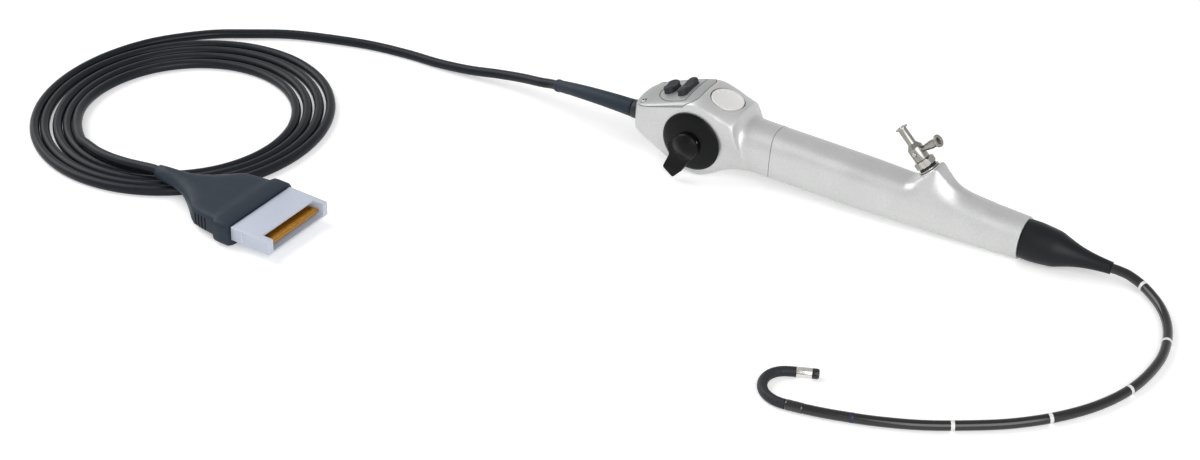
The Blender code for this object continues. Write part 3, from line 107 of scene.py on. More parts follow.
def matt_table_top():
    """Matt white laminate."""
    material = bpy.data.materials.new("matt_table_top")
    material.use_nodes = True
    tree = material.node_tree
    shader = tree.nodes["Principled BSDF"]
    shader.inputs["Base Color"].default_value = linear(table_colour)
    shader.inputs["Roughness"].default_value = 0.9
    shader.inputs["Specular IOR Level"].default_value = 0.1
    shader.inputs["Emission Color"].default_value = (1, 1, 1, 1)
    glow = add_node(tree, "Math", {0: seen_rays(tree).outputs[0], 1: table_glow}, operation="MULTIPLY")
    tree.links.new(glow.outputs[0], shader.inputs["Emission Strength"])
    return material


bm = bmesh.new()
bmesh.ops.create_grid(bm, x_segments=1, y_segments=1, size=table_size / 2)
table_mesh = bpy.data.meshes.new("table_top")
bm.to_mesh(table_mesh)
bm.free()
table_mesh.materials.append(matt_table_top())
table_top = bpy.data.objects.new("table_top", table_mesh)
bpy.context.scene.collection.objects.link(table_top)

room = bpy.data.worlds.new("white_room")
room.use_nodes = True
room_shader = room.node_tree.nodes["Background"]
room_shader.inputs["Color"].default_value = (1, 1, 1, 1)
level = add_node(room.node_tree, "Math",
                 {0: seen_rays(room.node_tree).outputs[0], 1: 1 - room_light, 2: room_light},
                 operation="MULTIPLY_ADD")
way_up = add_node(room.node_tree, "SeparateXYZ",
                  {0: add_node(room.node_tree, "TexCoord").outputs["Generated"]})
ceiling = add_node(room.node_tree, "MapRange",
                   {"Value": way_up.outputs["Z"], "From Min": 0.10, "From Max": 0.55,
                    "To Min": 1.0, "To Max": ceiling_grey})
fade = add_node(room.node_tree, "Math", {0: level.outputs[0], 1: ceiling.outputs[0]}, operation="MULTIPLY")
room.node_tree.links.new(fade.outputs[0], room_shader.inputs["Strength"])
bpy.context.scene.world = room

for name, place, size, power in lamps:
    lamp = bpy.data.lights.new(name, "AREA")
    lamp.size = size
    lamp.energy = power
    holder = bpy.data.objects.new(name, lamp)
    holder.location = place
    holder.rotation_euler = (Vector((-0.1, -0.05, 0)) - Vector(place)).to_track_quat("-Z", "Y").to_euler()
    bpy.context.scene.collection.objects.link(holder)


# The insertion tube: a steel coil and braid under a smooth black polyurethane sheath, extruded over it and
# 5.4 mm across. It leaves the boot's mouth and lies in one open curve. Lengths are in millimetres.
MM = 0.001
head_half_width = 17.5
belly_x = 3.0
belly_depth = 24.0
grip_end = 197.2
grip_end_radius = 11.9
handle_slope = atan((belly_depth - grip_end_radius) / (grip_end - belly_x))
lever_pivot = Vector(next(joint["pos_m"] for joint in frame["joints"] if joint["name"] == "lever_hinge"))
handle = (Matrix.Translation(lever_pivot + Vector((0, head_half_width * MM, 0)))
          @ Matrix.Rotation(handle_slope, 4, "Y") @ Matrix.Scale(MM, 4))
boot_end = 247.7
seat_gap = 0.3
tube_radius = 2.7
tube_mouth = handle @ Vector((boot_end + seat_gap, 0, 0))
tube_route = (
    (0.0106, -0.0006, 0.0076), (0.0206, -0.0045, 0.0056), (0.0326, -0.0143, 0.0038),
    (0.0414, -0.0273, 0.0029), (0.0471, -0.0435, 0.0027), (0.0494, -0.0629, 0.0027),
    (0.0463, -0.0879, 0.0027), (0.0372, -0.1107, 0.0027), (0.0227, -0.1311, 0.0027),
    (0.0043, -0.1485, 0.0027), (-0.0154, -0.1617, 0.0027), (-0.0350, -0.1725, 0.0027),
    (-0.0553, -0.1805, 0.0027), (-0.0734, -0.1857, 0.0028), (-0.0834, -0.1880, 0.00285),
    (-0.0910, -0.1893, 0.00285),
)


def laid_line(points, spacing):
    """Evenly spaced points on a smooth curve through given ones."""
    points = [Vector(p) for p in points]
    padded = [points[0] * 2 - points[1]] + points + [points[-1] * 2 - points[-2]]
    dense = []
    for a, b, c, d in zip(padded, padded[1:], padded[2:], padded[3:]):
        for i in range(24):
            t = i / 24
            dense.append(0.5 * (2 * b + (c - a) * t + (2 * a - 5 * b + 4 * c - d) * t * t
                                + (3 * b - a - 3 * c + d) * t ** 3))
    dense.append(points[-1])
    runs = [0.0]
    for p, q in zip(dense, dense[1:]):
        runs.append(runs[-1] + (q - p).length)
    count = max(2, round(runs[-1] / spacing))
    line, at = [], 0
    for i in range(count + 1):
        goal = runs[-1] * i / count
        while at < len(runs) - 2 and runs[at + 1] < goal:
            at += 1
        share = (goal - runs[at]) / max(runs[at + 1] - runs[at], 1e-9)
        line.append(dense[at].lerp(dense[at + 1], min(max(share, 0), 1)))
    return line


def round_cord(name, line, radius, material):
    """A round cord as a curve of one open spline."""
    curve = bpy.data.curves.new(name, "CURVE")
    curve.dimensions = "3D"
    curve.bevel_depth = radius
    curve.bevel_resolution = 8
    curve.use_fill_caps = True
    spline = curve.splines.new("POLY")
    spline.points.add(len(line) - 1)
    for target, point in zip(spline.points, line):
        target.co = (*point, 1)
    curve.materials.append(material)
    cord = bpy.data.objects.new(name, curve)
    bpy.context.scene.collection.objects.link(cord)
    return cord


def finish(name, base, roughness, metallic=0.0, **more):
    """A material and its shader, with the values that are the same all over the surface."""
    material = bpy.data.materials.new(name)
    material.use_nodes = True
    shader = material.node_tree.nodes["Principled BSDF"]
    shader.inputs["Base Color"].default_value = linear(base)
    shader.inputs["Roughness"].default_value = roughness
    shader.inputs["Metallic"].default_value = metallic
    for socket, value in more.items():
        shader.inputs[socket.replace("_", " ")].default_value = value
    return material, material.node_tree, shader


def grained(name, light, dark, grain_mm, depth_mm, roughness, metallic=0.0, mottle_mm=9.0, **more):
    """A surface with a fine grain and cloudy changes of tone and gloss, as moulds and blasting leave."""
    material, tree, shader = finish(name, light, sum(roughness) / 2, metallic, **more)
    place = add_node(tree, "TexCoord").outputs["Object"]
    grain = add_node(tree, "TexNoise",
                     {"Vector": place, "Scale": 1 / (grain_mm * MM), "Detail": 3.0, "Roughness": 0.6})
    cloud = add_node(tree, "TexNoise", {"Vector": place, "Scale": 1 / (mottle_mm * MM), "Detail": 4.0})
    drift = add_node(tree, "Math", {0: cloud.outputs["Fac"], 1: 0.25}, operation="MULTIPLY")
    both = add_node(tree, "Math", {0: grain.outputs["Fac"], 1: 0.75, 2: drift.outputs[0]},
                    operation="MULTIPLY_ADD")
    spread = add_node(tree, "MapRange", {"Value": both.outputs[0], "From Min": 0.30, "From Max": 0.70})
    tone = add_node(tree, "Mix", {"Factor": spread.outputs[0], "A": linear(dark), "B": linear(light)},
                    data_type="RGBA")
    tree.links.new(tone.outputs["Result"], shader.inputs["Base Color"])
    gloss = add_node(tree, "MapRange", {"Value": cloud.outputs["Fac"], "From Min": 0.3, "From Max": 0.7,
                                        "To Min": roughness[0], "To Max": roughness[1]})
    tree.links.new(gloss.outputs[0], shader.inputs["Roughness"])
    bump = add_node(tree, "Bump",
                    {"Height": grain.outputs["Fac"], "Distance": depth_mm * MM, "Strength": 0.8})
    tree.links.new(bump.outputs[0], shader.inputs["Normal"])
    return material


# Polyurethane, extruded and dipped to a shine: nearly black, with a wet-looking gloss and a faint ripple.
extruded_polyurethane = grained("extruded_polyurethane", "#121213", "#0A0A0B", 3.0, 0.012, (0.14, 0.24),
                                Coat_Weight=0.2, Coat_Roughness=0.08)
mouth_way = handle.to_3x3().col[0].normalized()
tube_line = laid_line([tube_mouth, tube_mouth + mouth_way * 4 * MM]
                      + [Vector((tube_mouth.x + x, tube_mouth.y + y, z)) for x, y, z in tube_route],
                      2.5 * MM)
insertion_sheath = round_cord("insertion_sheath", tube_line, tube_radius * MM, extruded_polyurethane)
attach(insertion_sheath, "handle")
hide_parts("insertion_tube")


# The depth marks: thin bands printed round the sheath every 50 mm, five white and the last one dark blue.
mark_radius = 2.73
mark_width = 2.0
first_mark = 20.2
mark_spacing = 50.0
mark_count = 6


def turned(outline, soft=0.0, steps=64, segments=3):
    """A bmesh turned about Z from an outline of (radius, height), its corners rounded by soft."""
    bm = bmesh.new()
    points = [bm.verts.new((r, 0, z)) for r, z in outline]
    on_axis = outline[0][0] == 0 and outline[-1][0] == 0
    for pair in list(zip(points, points[1:])) + ([] if on_axis else [(points[-1], points[0])]):
        bm.edges.new(pair)
    corners = [point for point in points if len(point.link_edges) == 2 and point.co.x > 0]
    if soft:
        bmesh.ops.bevel(bm, geom=corners, offset=soft, offset_type="OFFSET", segments=segments, profile=0.5,
                        affect="VERTICES", material=-1, clamp_overlap=True)
    bmesh.ops.spin(bm, geom=bm.verts[:] + bm.edges[:], cent=(0, 0, 0), axis=(0, 0, 1), angle=2 * pi,
                   steps=steps, use_merge=True)
    bmesh.ops.remove_doubles(bm, verts=bm.verts, dist=1e-5)
    bmesh.ops.recalc_face_normals(bm, faces=bm.faces)
    return bm


def ring(inner, outer, low, high, soft=0.0, steps=64):
    """A plain turned ring between two heights, or a rod where the inner radius is zero."""
    return turned([(inner, low), (outer, low), (outer, high), (inner, high)], soft, steps)


def new_object(name, bm, place=Matrix.Identity(4)):
    """An object at the origin from a bmesh, with its place in its mesh."""
    bmesh.ops.transform(bm, matrix=place, verts=bm.verts)
    mesh = bpy.data.meshes.new(name)
    bm.to_mesh(mesh)
    bm.free()
    made = bpy.data.objects.new(name, mesh)
    bpy.context.scene.collection.objects.link(made)
    return made


def fitted(piece, material, body, slot, *nodes, smooth=40):
    """The finished piece: shaded, painted, riding on its body and standing for its nodes."""
    piece.data.shade_smooth()
    piece.data.set_sharp_from_angle(angle=radians(smooth))
    piece.data.materials.clear()
    piece.data.materials.append(material)
    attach(piece, body)
    if nodes:
        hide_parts(*nodes)
    return piece


def frame_at(place, way):
    """A frame in millimetres with its Z along a direction, for turned pieces."""
    return Matrix.Translation(place) @ way.to_track_quat("Z", "Y").to_matrix().to_4x4() @ Matrix.Scale(MM, 4)


# Screen-printed ink: opaque, a little chalky, thin enough to follow the sheath's gloss.
white_print = grained("white_print", "#F1F1EE", "#DCDCD8", 0.9, 0.004, (0.35, 0.50))
blue_print = grained("blue_print", "#182043", "#10162E", 0.9, 0.004, (0.30, 0.42))
step = (tube_line[1] - tube_line[0]).length
for i in range(mark_count):
    along = (first_mark + i * mark_spacing) * MM / step
    here, ahead = tube_line[int(along)], tube_line[int(along) + 1]
    band = ring(tube_radius - 0.1, mark_radius, -mark_width / 2, mark_width / 2, 0.02)
    place = frame_at(here.lerp(ahead, along % 1), (ahead - here).normalized())
    mark = new_object(f"depth_mark_{i + 1}", band, place)
    fitted(mark, blue_print if i == mark_count - 1 else white_print, "handle", "black_sheath")


# The binding: the end of the sheath is whipped with thread and sealed in glossy black epoxy, where the
# bending section starts.
tip_heading = radians(187)
binding_radius = 2.85
binding_length = 9.7
thread_mm = 0.35
core_radius = 2.35
core_reach = 0.25
binding_round = 0.9
base_place = tube_line[-1]
base_way = Vector((cos(tip_heading), sin(tip_heading), 0))

# Thread under epoxy: a glassy black coat over close turns, drawn a little coarser than the real thread.
thread_in_epoxy, tree, shader = finish("thread_in_epoxy", "#0B0B0D", 0.16, Coat_Weight=0.5,
                                       Coat_Roughness=0.06)
turned_place = add_node(tree, "Mapping", {"Vector": add_node(tree, "TexCoord").outputs["Object"],
                                          "Rotation": (0, 0, -tip_heading)})
turns = add_node(tree, "TexWave",
                 {"Vector": turned_place.outputs[0], "Scale": 1 / (20 * thread_mm * MM), "Distortion": 0.6,
                  "Detail": 1.0}, wave_type="BANDS", bands_direction="X")
sheen = add_node(tree, "MapRange", {"Value": turns.outputs["Fac"], "To Min": 0.12, "To Max": 0.26})
tree.links.new(sheen.outputs[0], shader.inputs["Roughness"])
tree.links.new(add_node(tree, "Bump", {"Height": turns.outputs["Fac"], "Distance": 0.03 * MM}).outputs[0],
               shader.inputs["Normal"])
binding = turned([
    (0, seat_gap - core_reach), (core_radius, seat_gap - core_reach), (core_radius, seat_gap),
    (binding_radius - 0.25, seat_gap), (binding_radius, binding_round),
    (binding_radius, binding_length - binding_round), (binding_radius - 0.25, binding_length),
    (core_radius, binding_length), (core_radius, binding_length + core_reach),
    (0, binding_length + core_reach)], 0.1)
whipping = fitted(new_object("thread_binding", binding, frame_at(base_place, base_way)), thread_in_epoxy,
                  "handle",
                  "black_rubber", "tube_binding")


# The bending section's sleeve: soft black fluoroelastomer, drawn over the chain of links. It is divided at
# the middle of each link, and each stretch curves across its own hinge.
rubber_radius = 2.7
rubber_wall = 0.3
hinges = [Vector(joint["pos_m"]) for joint in frame["joints"] if joint["name"].startswith("bend_")]
end_heading = radians(20)
end_way = Vector((cos(end_heading), sin(end_heading), 0))
sleeve_seat = 6.1
sleeve_start = hinges[-1] + end_way * (sleeve_seat - seat_gap) * MM
binding_end = base_place + base_way * (binding_length + seat_gap) * MM


def skin_along(stations, sides=32):
    """A bmesh skin over circles set square to a path. Each station is a place, a direction and a radius."""
    bm = bmesh.new()
    rows = []
    for place, way, radius in stations:
        turn = way.to_track_quat("Z", "Y").to_matrix().to_4x4()
        circle = bmesh.ops.create_circle(bm, cap_ends=False, radius=radius, segments=sides,
                                         matrix=Matrix.Translation(place) @ turn)["verts"]
        rows.append(list({edge for point in circle for edge in point.link_edges}))
    for row, following in zip(rows, rows[1:]):
        bmesh.ops.bridge_loops(bm, edges=row + following)
    bmesh.ops.recalc_face_normals(bm, faces=bm.faces)
    return bm, rows


# Fluoroelastomer, dipped and cured: matt charcoal black with a soft broad sheen.
dipped_fluoroelastomer = grained("dipped_fluoroelastomer", "#2C2E30", "#202224", 1.4, 0.010, (0.42, 0.58),
                                 Specular_IOR_Level=0.25)
middles = [binding_end] + [(a + b) / 2 for a, b in zip(hinges, hinges[1:])] + [sleeve_start]
for i, hinge in enumerate(hinges):
    start, end = middles[i], middles[i + 1]
    stations = []
    for k in range(11):
        t = k / 10
        place = start * (1 - t) ** 2 + hinge * 2 * t * (1 - t) + end * t * t
        way = ((hinge - start) * (1 - t) + (end - hinge) * t).normalized()
        stations.append((place, way, rubber_radius * MM))
    stretch = new_object(f"bending_sleeve_{i + 1}", skin_along(stations)[0])
    stretch.data.shade_smooth()
    stretch.data.materials.append(dipped_fluoroelastomer)
    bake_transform(stretch)
    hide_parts("bending_rubber")
    wall = stretch.modifiers.new("wall", "SOLIDIFY")
    wall.thickness = rubber_wall * MM
    wall.offset = -1


# The distal head: a turned steel sleeve round a black insert that holds the lens, the two ends of the light
# guide and the mouth of the working channel.
tip = (Matrix.Translation(hinges[-1]) @ Matrix.Rotation(end_heading, 4, "Z")
       @ Matrix.Rotation(pi / 2, 4, "Y")
       @ Matrix.Scale(MM, 4))
steel_radius = 2.85
steel_length = 8.0
insert_length = 3.6
steel_end = sleeve_seat + steel_length
tip_face = steel_end + insert_length
lens_at = Vector((-0.95, 0, 0))
lens_radius = 0.85
channel_at = Vector((1.15, 0, 0))
channel_radius = 1.10
light_at = -0.8
light_spread = 1.6
light_radius = 0.42
sink = 1.2


def settle(piece):
    """Apply the piece's modifiers to its mesh."""
    bpy.context.view_layer.update()
    mesh = bpy.data.meshes.new_from_object(piece.evaluated_get(bpy.context.evaluated_depsgraph_get()))
    piece.modifiers.clear()
    piece.data = mesh
    return piece


def carve(piece, tool, operation="DIFFERENCE"):
    """Cut, keep or join with another form, which is then gone."""
    change = piece.modifiers.new(operation.lower(), "BOOLEAN")
    change.operation = operation
    change.object = tool
    change.solver = "EXACT"
    settle(piece)
    bpy.data.objects.remove(tool, do_unlink=True)
    return piece


def turned_steel(name, base, direction, centre=(0, 0, 0)):
    """Stainless steel from the lathe: fine rings square to its axis, polished afterwards."""
    ring_mm = 0.45
    material, tree, shader = finish(name, base, 0.2, 1.0)
    moved_place = add_node(tree, "Mapping", {"Vector": add_node(tree, "TexCoord").outputs["Object"],
                                             "Rotation": tuple(-a for a in direction), "Location": centre})
    rings = add_node(tree, "TexWave",
                     {"Vector": moved_place.outputs[0], "Scale": 1 / (20 * ring_mm * MM), "Distortion": 2.0,
                      "Detail": 3.0, "Detail Scale": 2.0}, wave_type="BANDS", bands_direction="X")
    cloud = add_node(tree, "TexNoise",
                     {"Vector": moved_place.outputs[0], "Scale": 1 / (4 * MM), "Detail": 3.0})
    both = add_node(tree, "Math", {0: rings.outputs["Fac"], 1: cloud.outputs["Fac"]}, operation="MULTIPLY")
    gloss = add_node(tree, "MapRange",
                     {"Value": both.outputs[0], "From Max": 0.6, "To Min": 0.13, "To Max": 0.30})
    tree.links.new(gloss.outputs[0], shader.inputs["Roughness"])
    bump = add_node(tree, "Bump", {"Height": rings.outputs["Fac"], "Distance": 0.006 * MM, "Strength": 0.6})
    tree.links.new(bump.outputs[0], shader.inputs["Normal"])
    return material


# Stainless steel tube, turned and polished, with fine rings square to the tip.
tip_steel = turned_steel("turned_tip_steel", "#D9D7D2", (0, 0, end_heading))
sleeve = ring(steel_radius - 0.3, steel_radius, sleeve_seat, steel_end, 0.1)
fitted(new_object("tip_collar", sleeve, tip), tip_steel, "link_8", "steel", "tip_sleeve")

# Black epoxy-filled polymer, moulded and faced off: satin, with bright rims round the optics.
faced_polymer = grained("faced_polymer", "#17181A", "#0E0F10", 0.5, 0.008, (0.28, 0.42))
core = steel_radius - 0.4
insert = turned([(0, sleeve_seat + 0.3), (core, sleeve_seat + 0.3), (core, steel_end + 0.1),
                 (steel_radius - 0.1, steel_end + 0.1),
                 (steel_radius - 0.1, tip_face - 0.7), (steel_radius - 0.7, tip_face), (0, tip_face)], 0.12)
tip_block = new_object("tip_block", insert, tip)
tip_bores = ((lens_at, lens_radius, sink), (channel_at, channel_radius, 6.0),
             (Vector((light_at, -light_spread, 0)), light_radius, sink),
             (Vector((light_at, light_spread, 0)), light_radius, sink))
for at, radius, depth in tip_bores:
    bore = ring(0, radius + 0.1, tip_face - depth, tip_face + 1, steps=32)
    carve(tip_block, new_object("tip_bore", bore, tip @ Matrix.Translation(at)))
fitted(tip_block, faced_polymer, "link_8", "black_plastic", "tip_insert")

# Sapphire lens with a violet anti-reflection bloom, and the polished ends of the fibre bundles.
coated_lens, tree, shader = finish("coated_lens", "#121528", 0.03, Coat_Weight=1.0, Coat_Roughness=0.02)
edge = add_node(tree, "LayerWeight", {"Blend": 0.35})
bloom = add_node(tree, "Mix", {"Factor": edge.outputs["Facing"], "A": linear("#0B0E1E"),
                               "B": linear("#3A2B6B")}, data_type="RGBA")
tree.links.new(bloom.outputs["Result"], shader.inputs["Base Color"])
lens = turned([(0, tip_face - sink + 0.1), (lens_radius, tip_face - sink + 0.1),
               (lens_radius, tip_face - 0.25),
               (lens_radius * 0.7, tip_face - 0.06), (0, tip_face)], 0.05, steps=48)
fitted(new_object("front_lens", lens, tip @ Matrix.Translation(lens_at)), coated_lens, "link_8", "lens",
       "objective_lens")
fibre_mm = 0.09
polished_fibres, tree, shader = finish("polished_fibres", "#D8DCD2", 0.12)
cells = add_node(tree, "TexVoronoi",
                 {"Vector": add_node(tree, "TexCoord").outputs["Object"], "Scale": 1 / (fibre_mm * MM)})
shade = add_node(tree, "Mix", {"Factor": cells.outputs["Distance"], "A": linear("#EEF1E6"),
                               "B": linear("#8F948C")}, data_type="RGBA")
tree.links.new(shade.outputs["Result"], shader.inputs["Base Color"])
for side, name in ((-1, "left"), (1, "right")):
    window = turned([(0, tip_face - sink + 0.1), (light_radius, tip_face - sink + 0.1),
                     (light_radius, tip_face - 0.02),
                     (0, tip_face)], 0.03, steps=32)
    fitted(new_object(f"fibre_window_{name}", window,
                      tip @ Matrix.Translation((light_at, side * light_spread, 0))),
           polished_fibres, "link_8", "window", f"light_window_{name}")


# The strain relief: a slate-grey sleeve moulded on the cable, tapered so that it bends evenly out of the
# head, with a rounded lip at its thin end. A black gland holds it at the head's rear face.
head_rear = -41.6
gland_radius = 5.5
gland_thickness = 5.2
cable_radius = 2.9
cable_drop = 3.9
relief_turn = radians(20)
relief_dip = radians(14.5)
relief_length = 60.5
relief_steps = 6
relief_start_radius = 5.2
relief_end_radius = 3.5
place = handle @ Vector((head_rear - gland_thickness - 2 * seat_gap, 0, -cable_drop))
way = (handle.to_3x3() @ Vector((-1, 0, 0))).normalized()
relief_path = [(place.copy(), way.copy())]
rise, heading = handle_slope, pi
for i in range(relief_steps):
    heading -= relief_turn / relief_steps
    rise -= (relief_dip + handle_slope) / relief_steps
    way = Vector((cos(rise) * cos(heading), cos(rise) * sin(heading), sin(rise)))
    place = place + way * (relief_length / relief_steps) * MM
    relief_path.append((place.copy(), way.copy()))
relief_end, relief_way = relief_path[-1]

# Silicone rubber, moulded in a polished tool: dark slate blue with a soft sheen and dust-fine grain.
moulded_silicone = grained("moulded_silicone", "#2A3440", "#222B34", 1.0, 0.010, (0.44, 0.58),
                           Specular_IOR_Level=0.2)
relief_line = laid_line([p for p, _ in relief_path], 1.5 * MM)
stations = []
for i, place in enumerate(relief_line):
    share = i / (len(relief_line) - 1)
    before, after = relief_line[max(i - 1, 0)], relief_line[min(i + 1, len(relief_line) - 1)]
    lip = 0.35 if share > 0.95 else 0.0
    radius = relief_start_radius + (relief_end_radius - relief_start_radius) * share + lip
    stations.append((place, (after - before).normalized(), radius * MM))
bm, rows = skin_along(stations, 40)
bmesh.ops.holes_fill(bm, edges=rows[0] + rows[-1], sides=0)
rims = [edge for row in (rows[0], rows[-1]) for edge in row]
bmesh.ops.bevel(bm, geom=rims, offset=0.6 * MM, segments=3, profile=0.5, affect="EDGES", material=-1)
bmesh.ops.recalc_face_normals(bm, faces=bm.faces)
fitted(new_object("tapered_relief", bm), moulded_silicone, "handle", "slate_sheath", "strain_relief")
gland_low = -head_rear + seat_gap
gland = ring(cable_radius + seat_gap, gland_radius, gland_low, gland_low + gland_thickness, 0.25)
gland_place = handle @ Matrix.Translation((0, 0, -cable_drop)) @ Matrix.Rotation(-pi / 2, 4, "Y")

# Glass-filled nylon, moulded: plain black, satin, with a fine matt grain.
moulded_black = grained("moulded_black_nylon", "#1D1E20", "#141516", 0.6, 0.012, (0.35, 0.50))
fitted(new_object("rear_gland", gland, gland_place), moulded_black, "handle", "black_plastic",
       "cable_gland")


# The video cable: coaxial pairs under a round slate-black silicone jacket, 5.8 mm across. It runs from the
# strain relief to the table, winds inwards in a flat coil, and its end climbs over the turns to the plug.
lead_route = (
    (-0.0134, 0.0027, 0.0130), (-0.0284, 0.0059, 0.0101), (-0.0464, 0.0071, 0.0073),
    (-0.0664, 0.0063, 0.0048), (-0.0894, 0.0064, 0.0032), (-0.1124, 0.0074, 0.0027),
    (-0.1384, 0.0055, 0.0027), (-0.1644, -0.0004, 0.0029), (-0.1894, -0.0080, 0.0029),
    (-0.2124, -0.0200, 0.0029),
)
tail_route = (
    (-0.2165, -0.1796, 0.0078), (-0.2078, -0.1840, 0.0085), (-0.1970, -0.1879, 0.0089),
    (-0.1855, -0.1901, 0.0094), (-0.1735, -0.1908, 0.0100), (-0.1630, -0.1904, 0.0106),
)
coil_centre = Vector((relief_end.x - 0.1847, relief_end.y - 0.1231, 0))
coil_start = 120
coil_end = 1695
tail_from = 1662
coil_inner = 61.9
coil_pitch = 6.5
coil_far = 1.2
coil_left = 0.35
coil_oval = 0.43
loose_turns = 560
loose_gap = 1.6
lead_gap = 5.2
lead_ends = 185
points_per_turn = 18
climb = 2.8
climb_from = 1585
plug_place = Vector((relief_end.x - 0.1458, relief_end.y - 0.1911, 0.0112))
plug_heading = radians(-4)
plug_dip = radians(1.2)
neck_back = 5.0
plug_way = Matrix.Rotation(plug_heading, 3, "Z") @ Matrix.Rotation(plug_dip, 3, "Y") @ Vector((1, 0, 0))


def coil_point(degrees):
    """A point of the coil. The turns lie wider at the far side, and the outer two stand off at the left."""
    left = (coil_end - degrees) / 360
    spread = coil_pitch + coil_far * sin(radians(degrees)) - coil_left * cos(radians(degrees))
    spread -= coil_oval * cos(radians(2 * degrees))
    radius = coil_inner + left * spread
    if degrees < loose_turns + 90:
        radius += loose_gap * max(0, cos(radians(degrees - loose_turns))) ** 2
    radius += lead_gap * max(0, (lead_ends - degrees) / (lead_ends - coil_start)) ** 2
    rise = min(1, max(0, (degrees - climb_from) / (tail_from - climb_from)))
    height = cable_radius + climb * rise * rise
    return coil_centre + Vector((radius * cos(radians(degrees)), radius * sin(radians(degrees)),
                                 height)) * MM


# Silicone jacket, extruded: slate black, smooth, with a long soft highlight and a slight waviness.
extruded_silicone = grained("extruded_silicone", "#171C23", "#11151A", 2.2, 0.010, (0.30, 0.40),
                            mottle_mm=14.0,
                            Specular_IOR_Level=0.2)
coil_step = 360 / points_per_turn
coil_points = [coil_point(coil_start + i * coil_step)
               for i in range(int((tail_from - coil_start) / coil_step) + 1)]
cable_line = laid_line([relief_end + relief_way * seat_gap * MM, relief_end + relief_way * 6.3 * MM]
                       + [Vector((relief_end.x + x, relief_end.y + y, z)) for x, y, z in lead_route]
                       + coil_points
                       + [Vector((relief_end.x + x, relief_end.y + y, z)) for x, y, z in tail_route]
                       + [plug_place - plug_way * (neck_back + 4) * MM,
                          plug_place - plug_way * (neck_back + seat_gap) * MM],
                       2.5 * MM)
video_cable = round_cord("video_cable", cable_line, cable_radius * MM, extruded_silicone)
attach(video_cable, "handle")
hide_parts("cable_lead", "cable_coil", "cable_tail")


# The connector's overmould: slate silicone rubber moulded over the cable's end and the shell's back. It
# flares from a round neck to a flat body and ends in a wider flange, with grip grooves in both sides.
plug = (Matrix.Translation(plug_place) @ Matrix.Rotation(plug_heading, 4, "Z")
        @ Matrix.Rotation(plug_dip, 4, "Y")
        @ Matrix.Scale(MM, 4))
collar_x = 58.0
collar_length = 12.0
overmould_rows = (
    (-5.0, 3.3, 3.3, 3.3, 2.0), (-4.2, 4.1, 4.1, 4.1, 2.0), (2.0, 4.7, 4.7, 4.8, 2.0),
    (9.0, 5.3, 5.0, 5.0, 2.0),
    (15.0, 6.7, 5.0, 5.1, 2.1), (21.0, 9.4, 5.1, 5.4, 2.3), (27.0, 13.2, 5.2, 6.4, 2.7),
    (33.0, 17.6, 5.3, 7.8, 3.3),
    (37.5, 21.2, 5.4, 8.7, 4.4), (40.5, 22.8, 5.5, 9.0, 5.6), (46.0, 23.8, 5.6, 9.0, 6.0),
    (53.0, 24.6, 5.7, 9.0, 6.0),
    (57.6, 25.2, 5.8, 9.0, 6.0), (59.0, 27.6, 6.2, 9.6, 6.6), (61.0, 28.0, 6.2, 9.7, 6.8),
    (68.6, 28.0, 6.2, 9.7, 6.8), (70.0, 27.4, 5.7, 9.2, 6.4),
)
groove_places = (43.0, 45.6, 48.2, 50.8)
groove_side = 23.2
groove_flare = 0.15


def squared_ring(bm, x, half_width, top, bottom, squareness, sides):
    """A ring across X: a circle pushed out to a rounded box, with its own height above and below the axis."""
    circle = bmesh.ops.create_circle(bm, cap_ends=False, radius=1, segments=sides)["verts"]
    edges = list({edge for point in circle for edge in point.link_edges})
    for point in circle:
        angle = atan2(point.co.y, point.co.x)
        c, s = cos(angle), sin(angle)
        y = half_width * copysign(abs(c) ** (2 / squareness), c)
        z = (top if s > 0 else bottom) * copysign(abs(s) ** (2 / squareness), s)
        point.co = (x, y, z)
    return edges


def joined_rings(bm, rows):
    """Skin over the rings, closed at both ends."""
    for row, following in zip(rows, rows[1:]):
        bmesh.ops.bridge_loops(bm, edges=row + following)
    bmesh.ops.holes_fill(bm, edges=rows[0] + rows[-1], sides=0)
    bmesh.ops.recalc_face_normals(bm, faces=bm.faces)
    return bm


def block(low, high, soft=0.0, segments=3):
    """A bmesh box between two corners in millimetres, its edges rounded by soft."""
    bm = bmesh.new()
    bmesh.ops.create_cube(bm, size=1)
    low, high = Vector(low), Vector(high)
    bmesh.ops.scale(bm, vec=high - low, verts=bm.verts)
    bmesh.ops.translate(bm, vec=(low + high) / 2, verts=bm.verts)
    if soft:
        bmesh.ops.bevel(bm, geom=bm.edges, offset=soft, segments=segments, profile=0.5, affect="EDGES",
                        material=-1)
    return bm


bm = bmesh.new()
rows = [squared_ring(bm, x, width, top, bottom, n, 80) for x, width, top, bottom, n in overmould_rows]
overmould = new_object("connector_overmould", joined_rings(bm, rows), plug)
for side in (-1, 1):
    for x in groove_places:
        half = groove_side + (x - groove_places[0]) * groove_flare
        cutter = block((x - 0.6, side * half - 1.0, -6.2), (x + 0.6, side * half + 1.0, 2.6), 0.5, 2)
        carve(overmould, new_object("groove", cutter, plug))
fitted(overmould, moulded_silicone, "handle", "slate_sheath", "plug_overmould")


# The connector's shell: pale glass-filled polycarbonate, moulded round the contact block. Its top plate
# stops short of the side walls, and a rib stands on each side.
shell_length = 27.0
shell_half_width = 25.5
shell_half_height = 4.3
shell_wall = 1.2
slot_depth = 20.0
slot_half_width = 21.5
mouth_length = 7.5
shell_back = collar_x + collar_length + seat_gap
shell_front = shell_back + shell_length
tall = shell_half_height

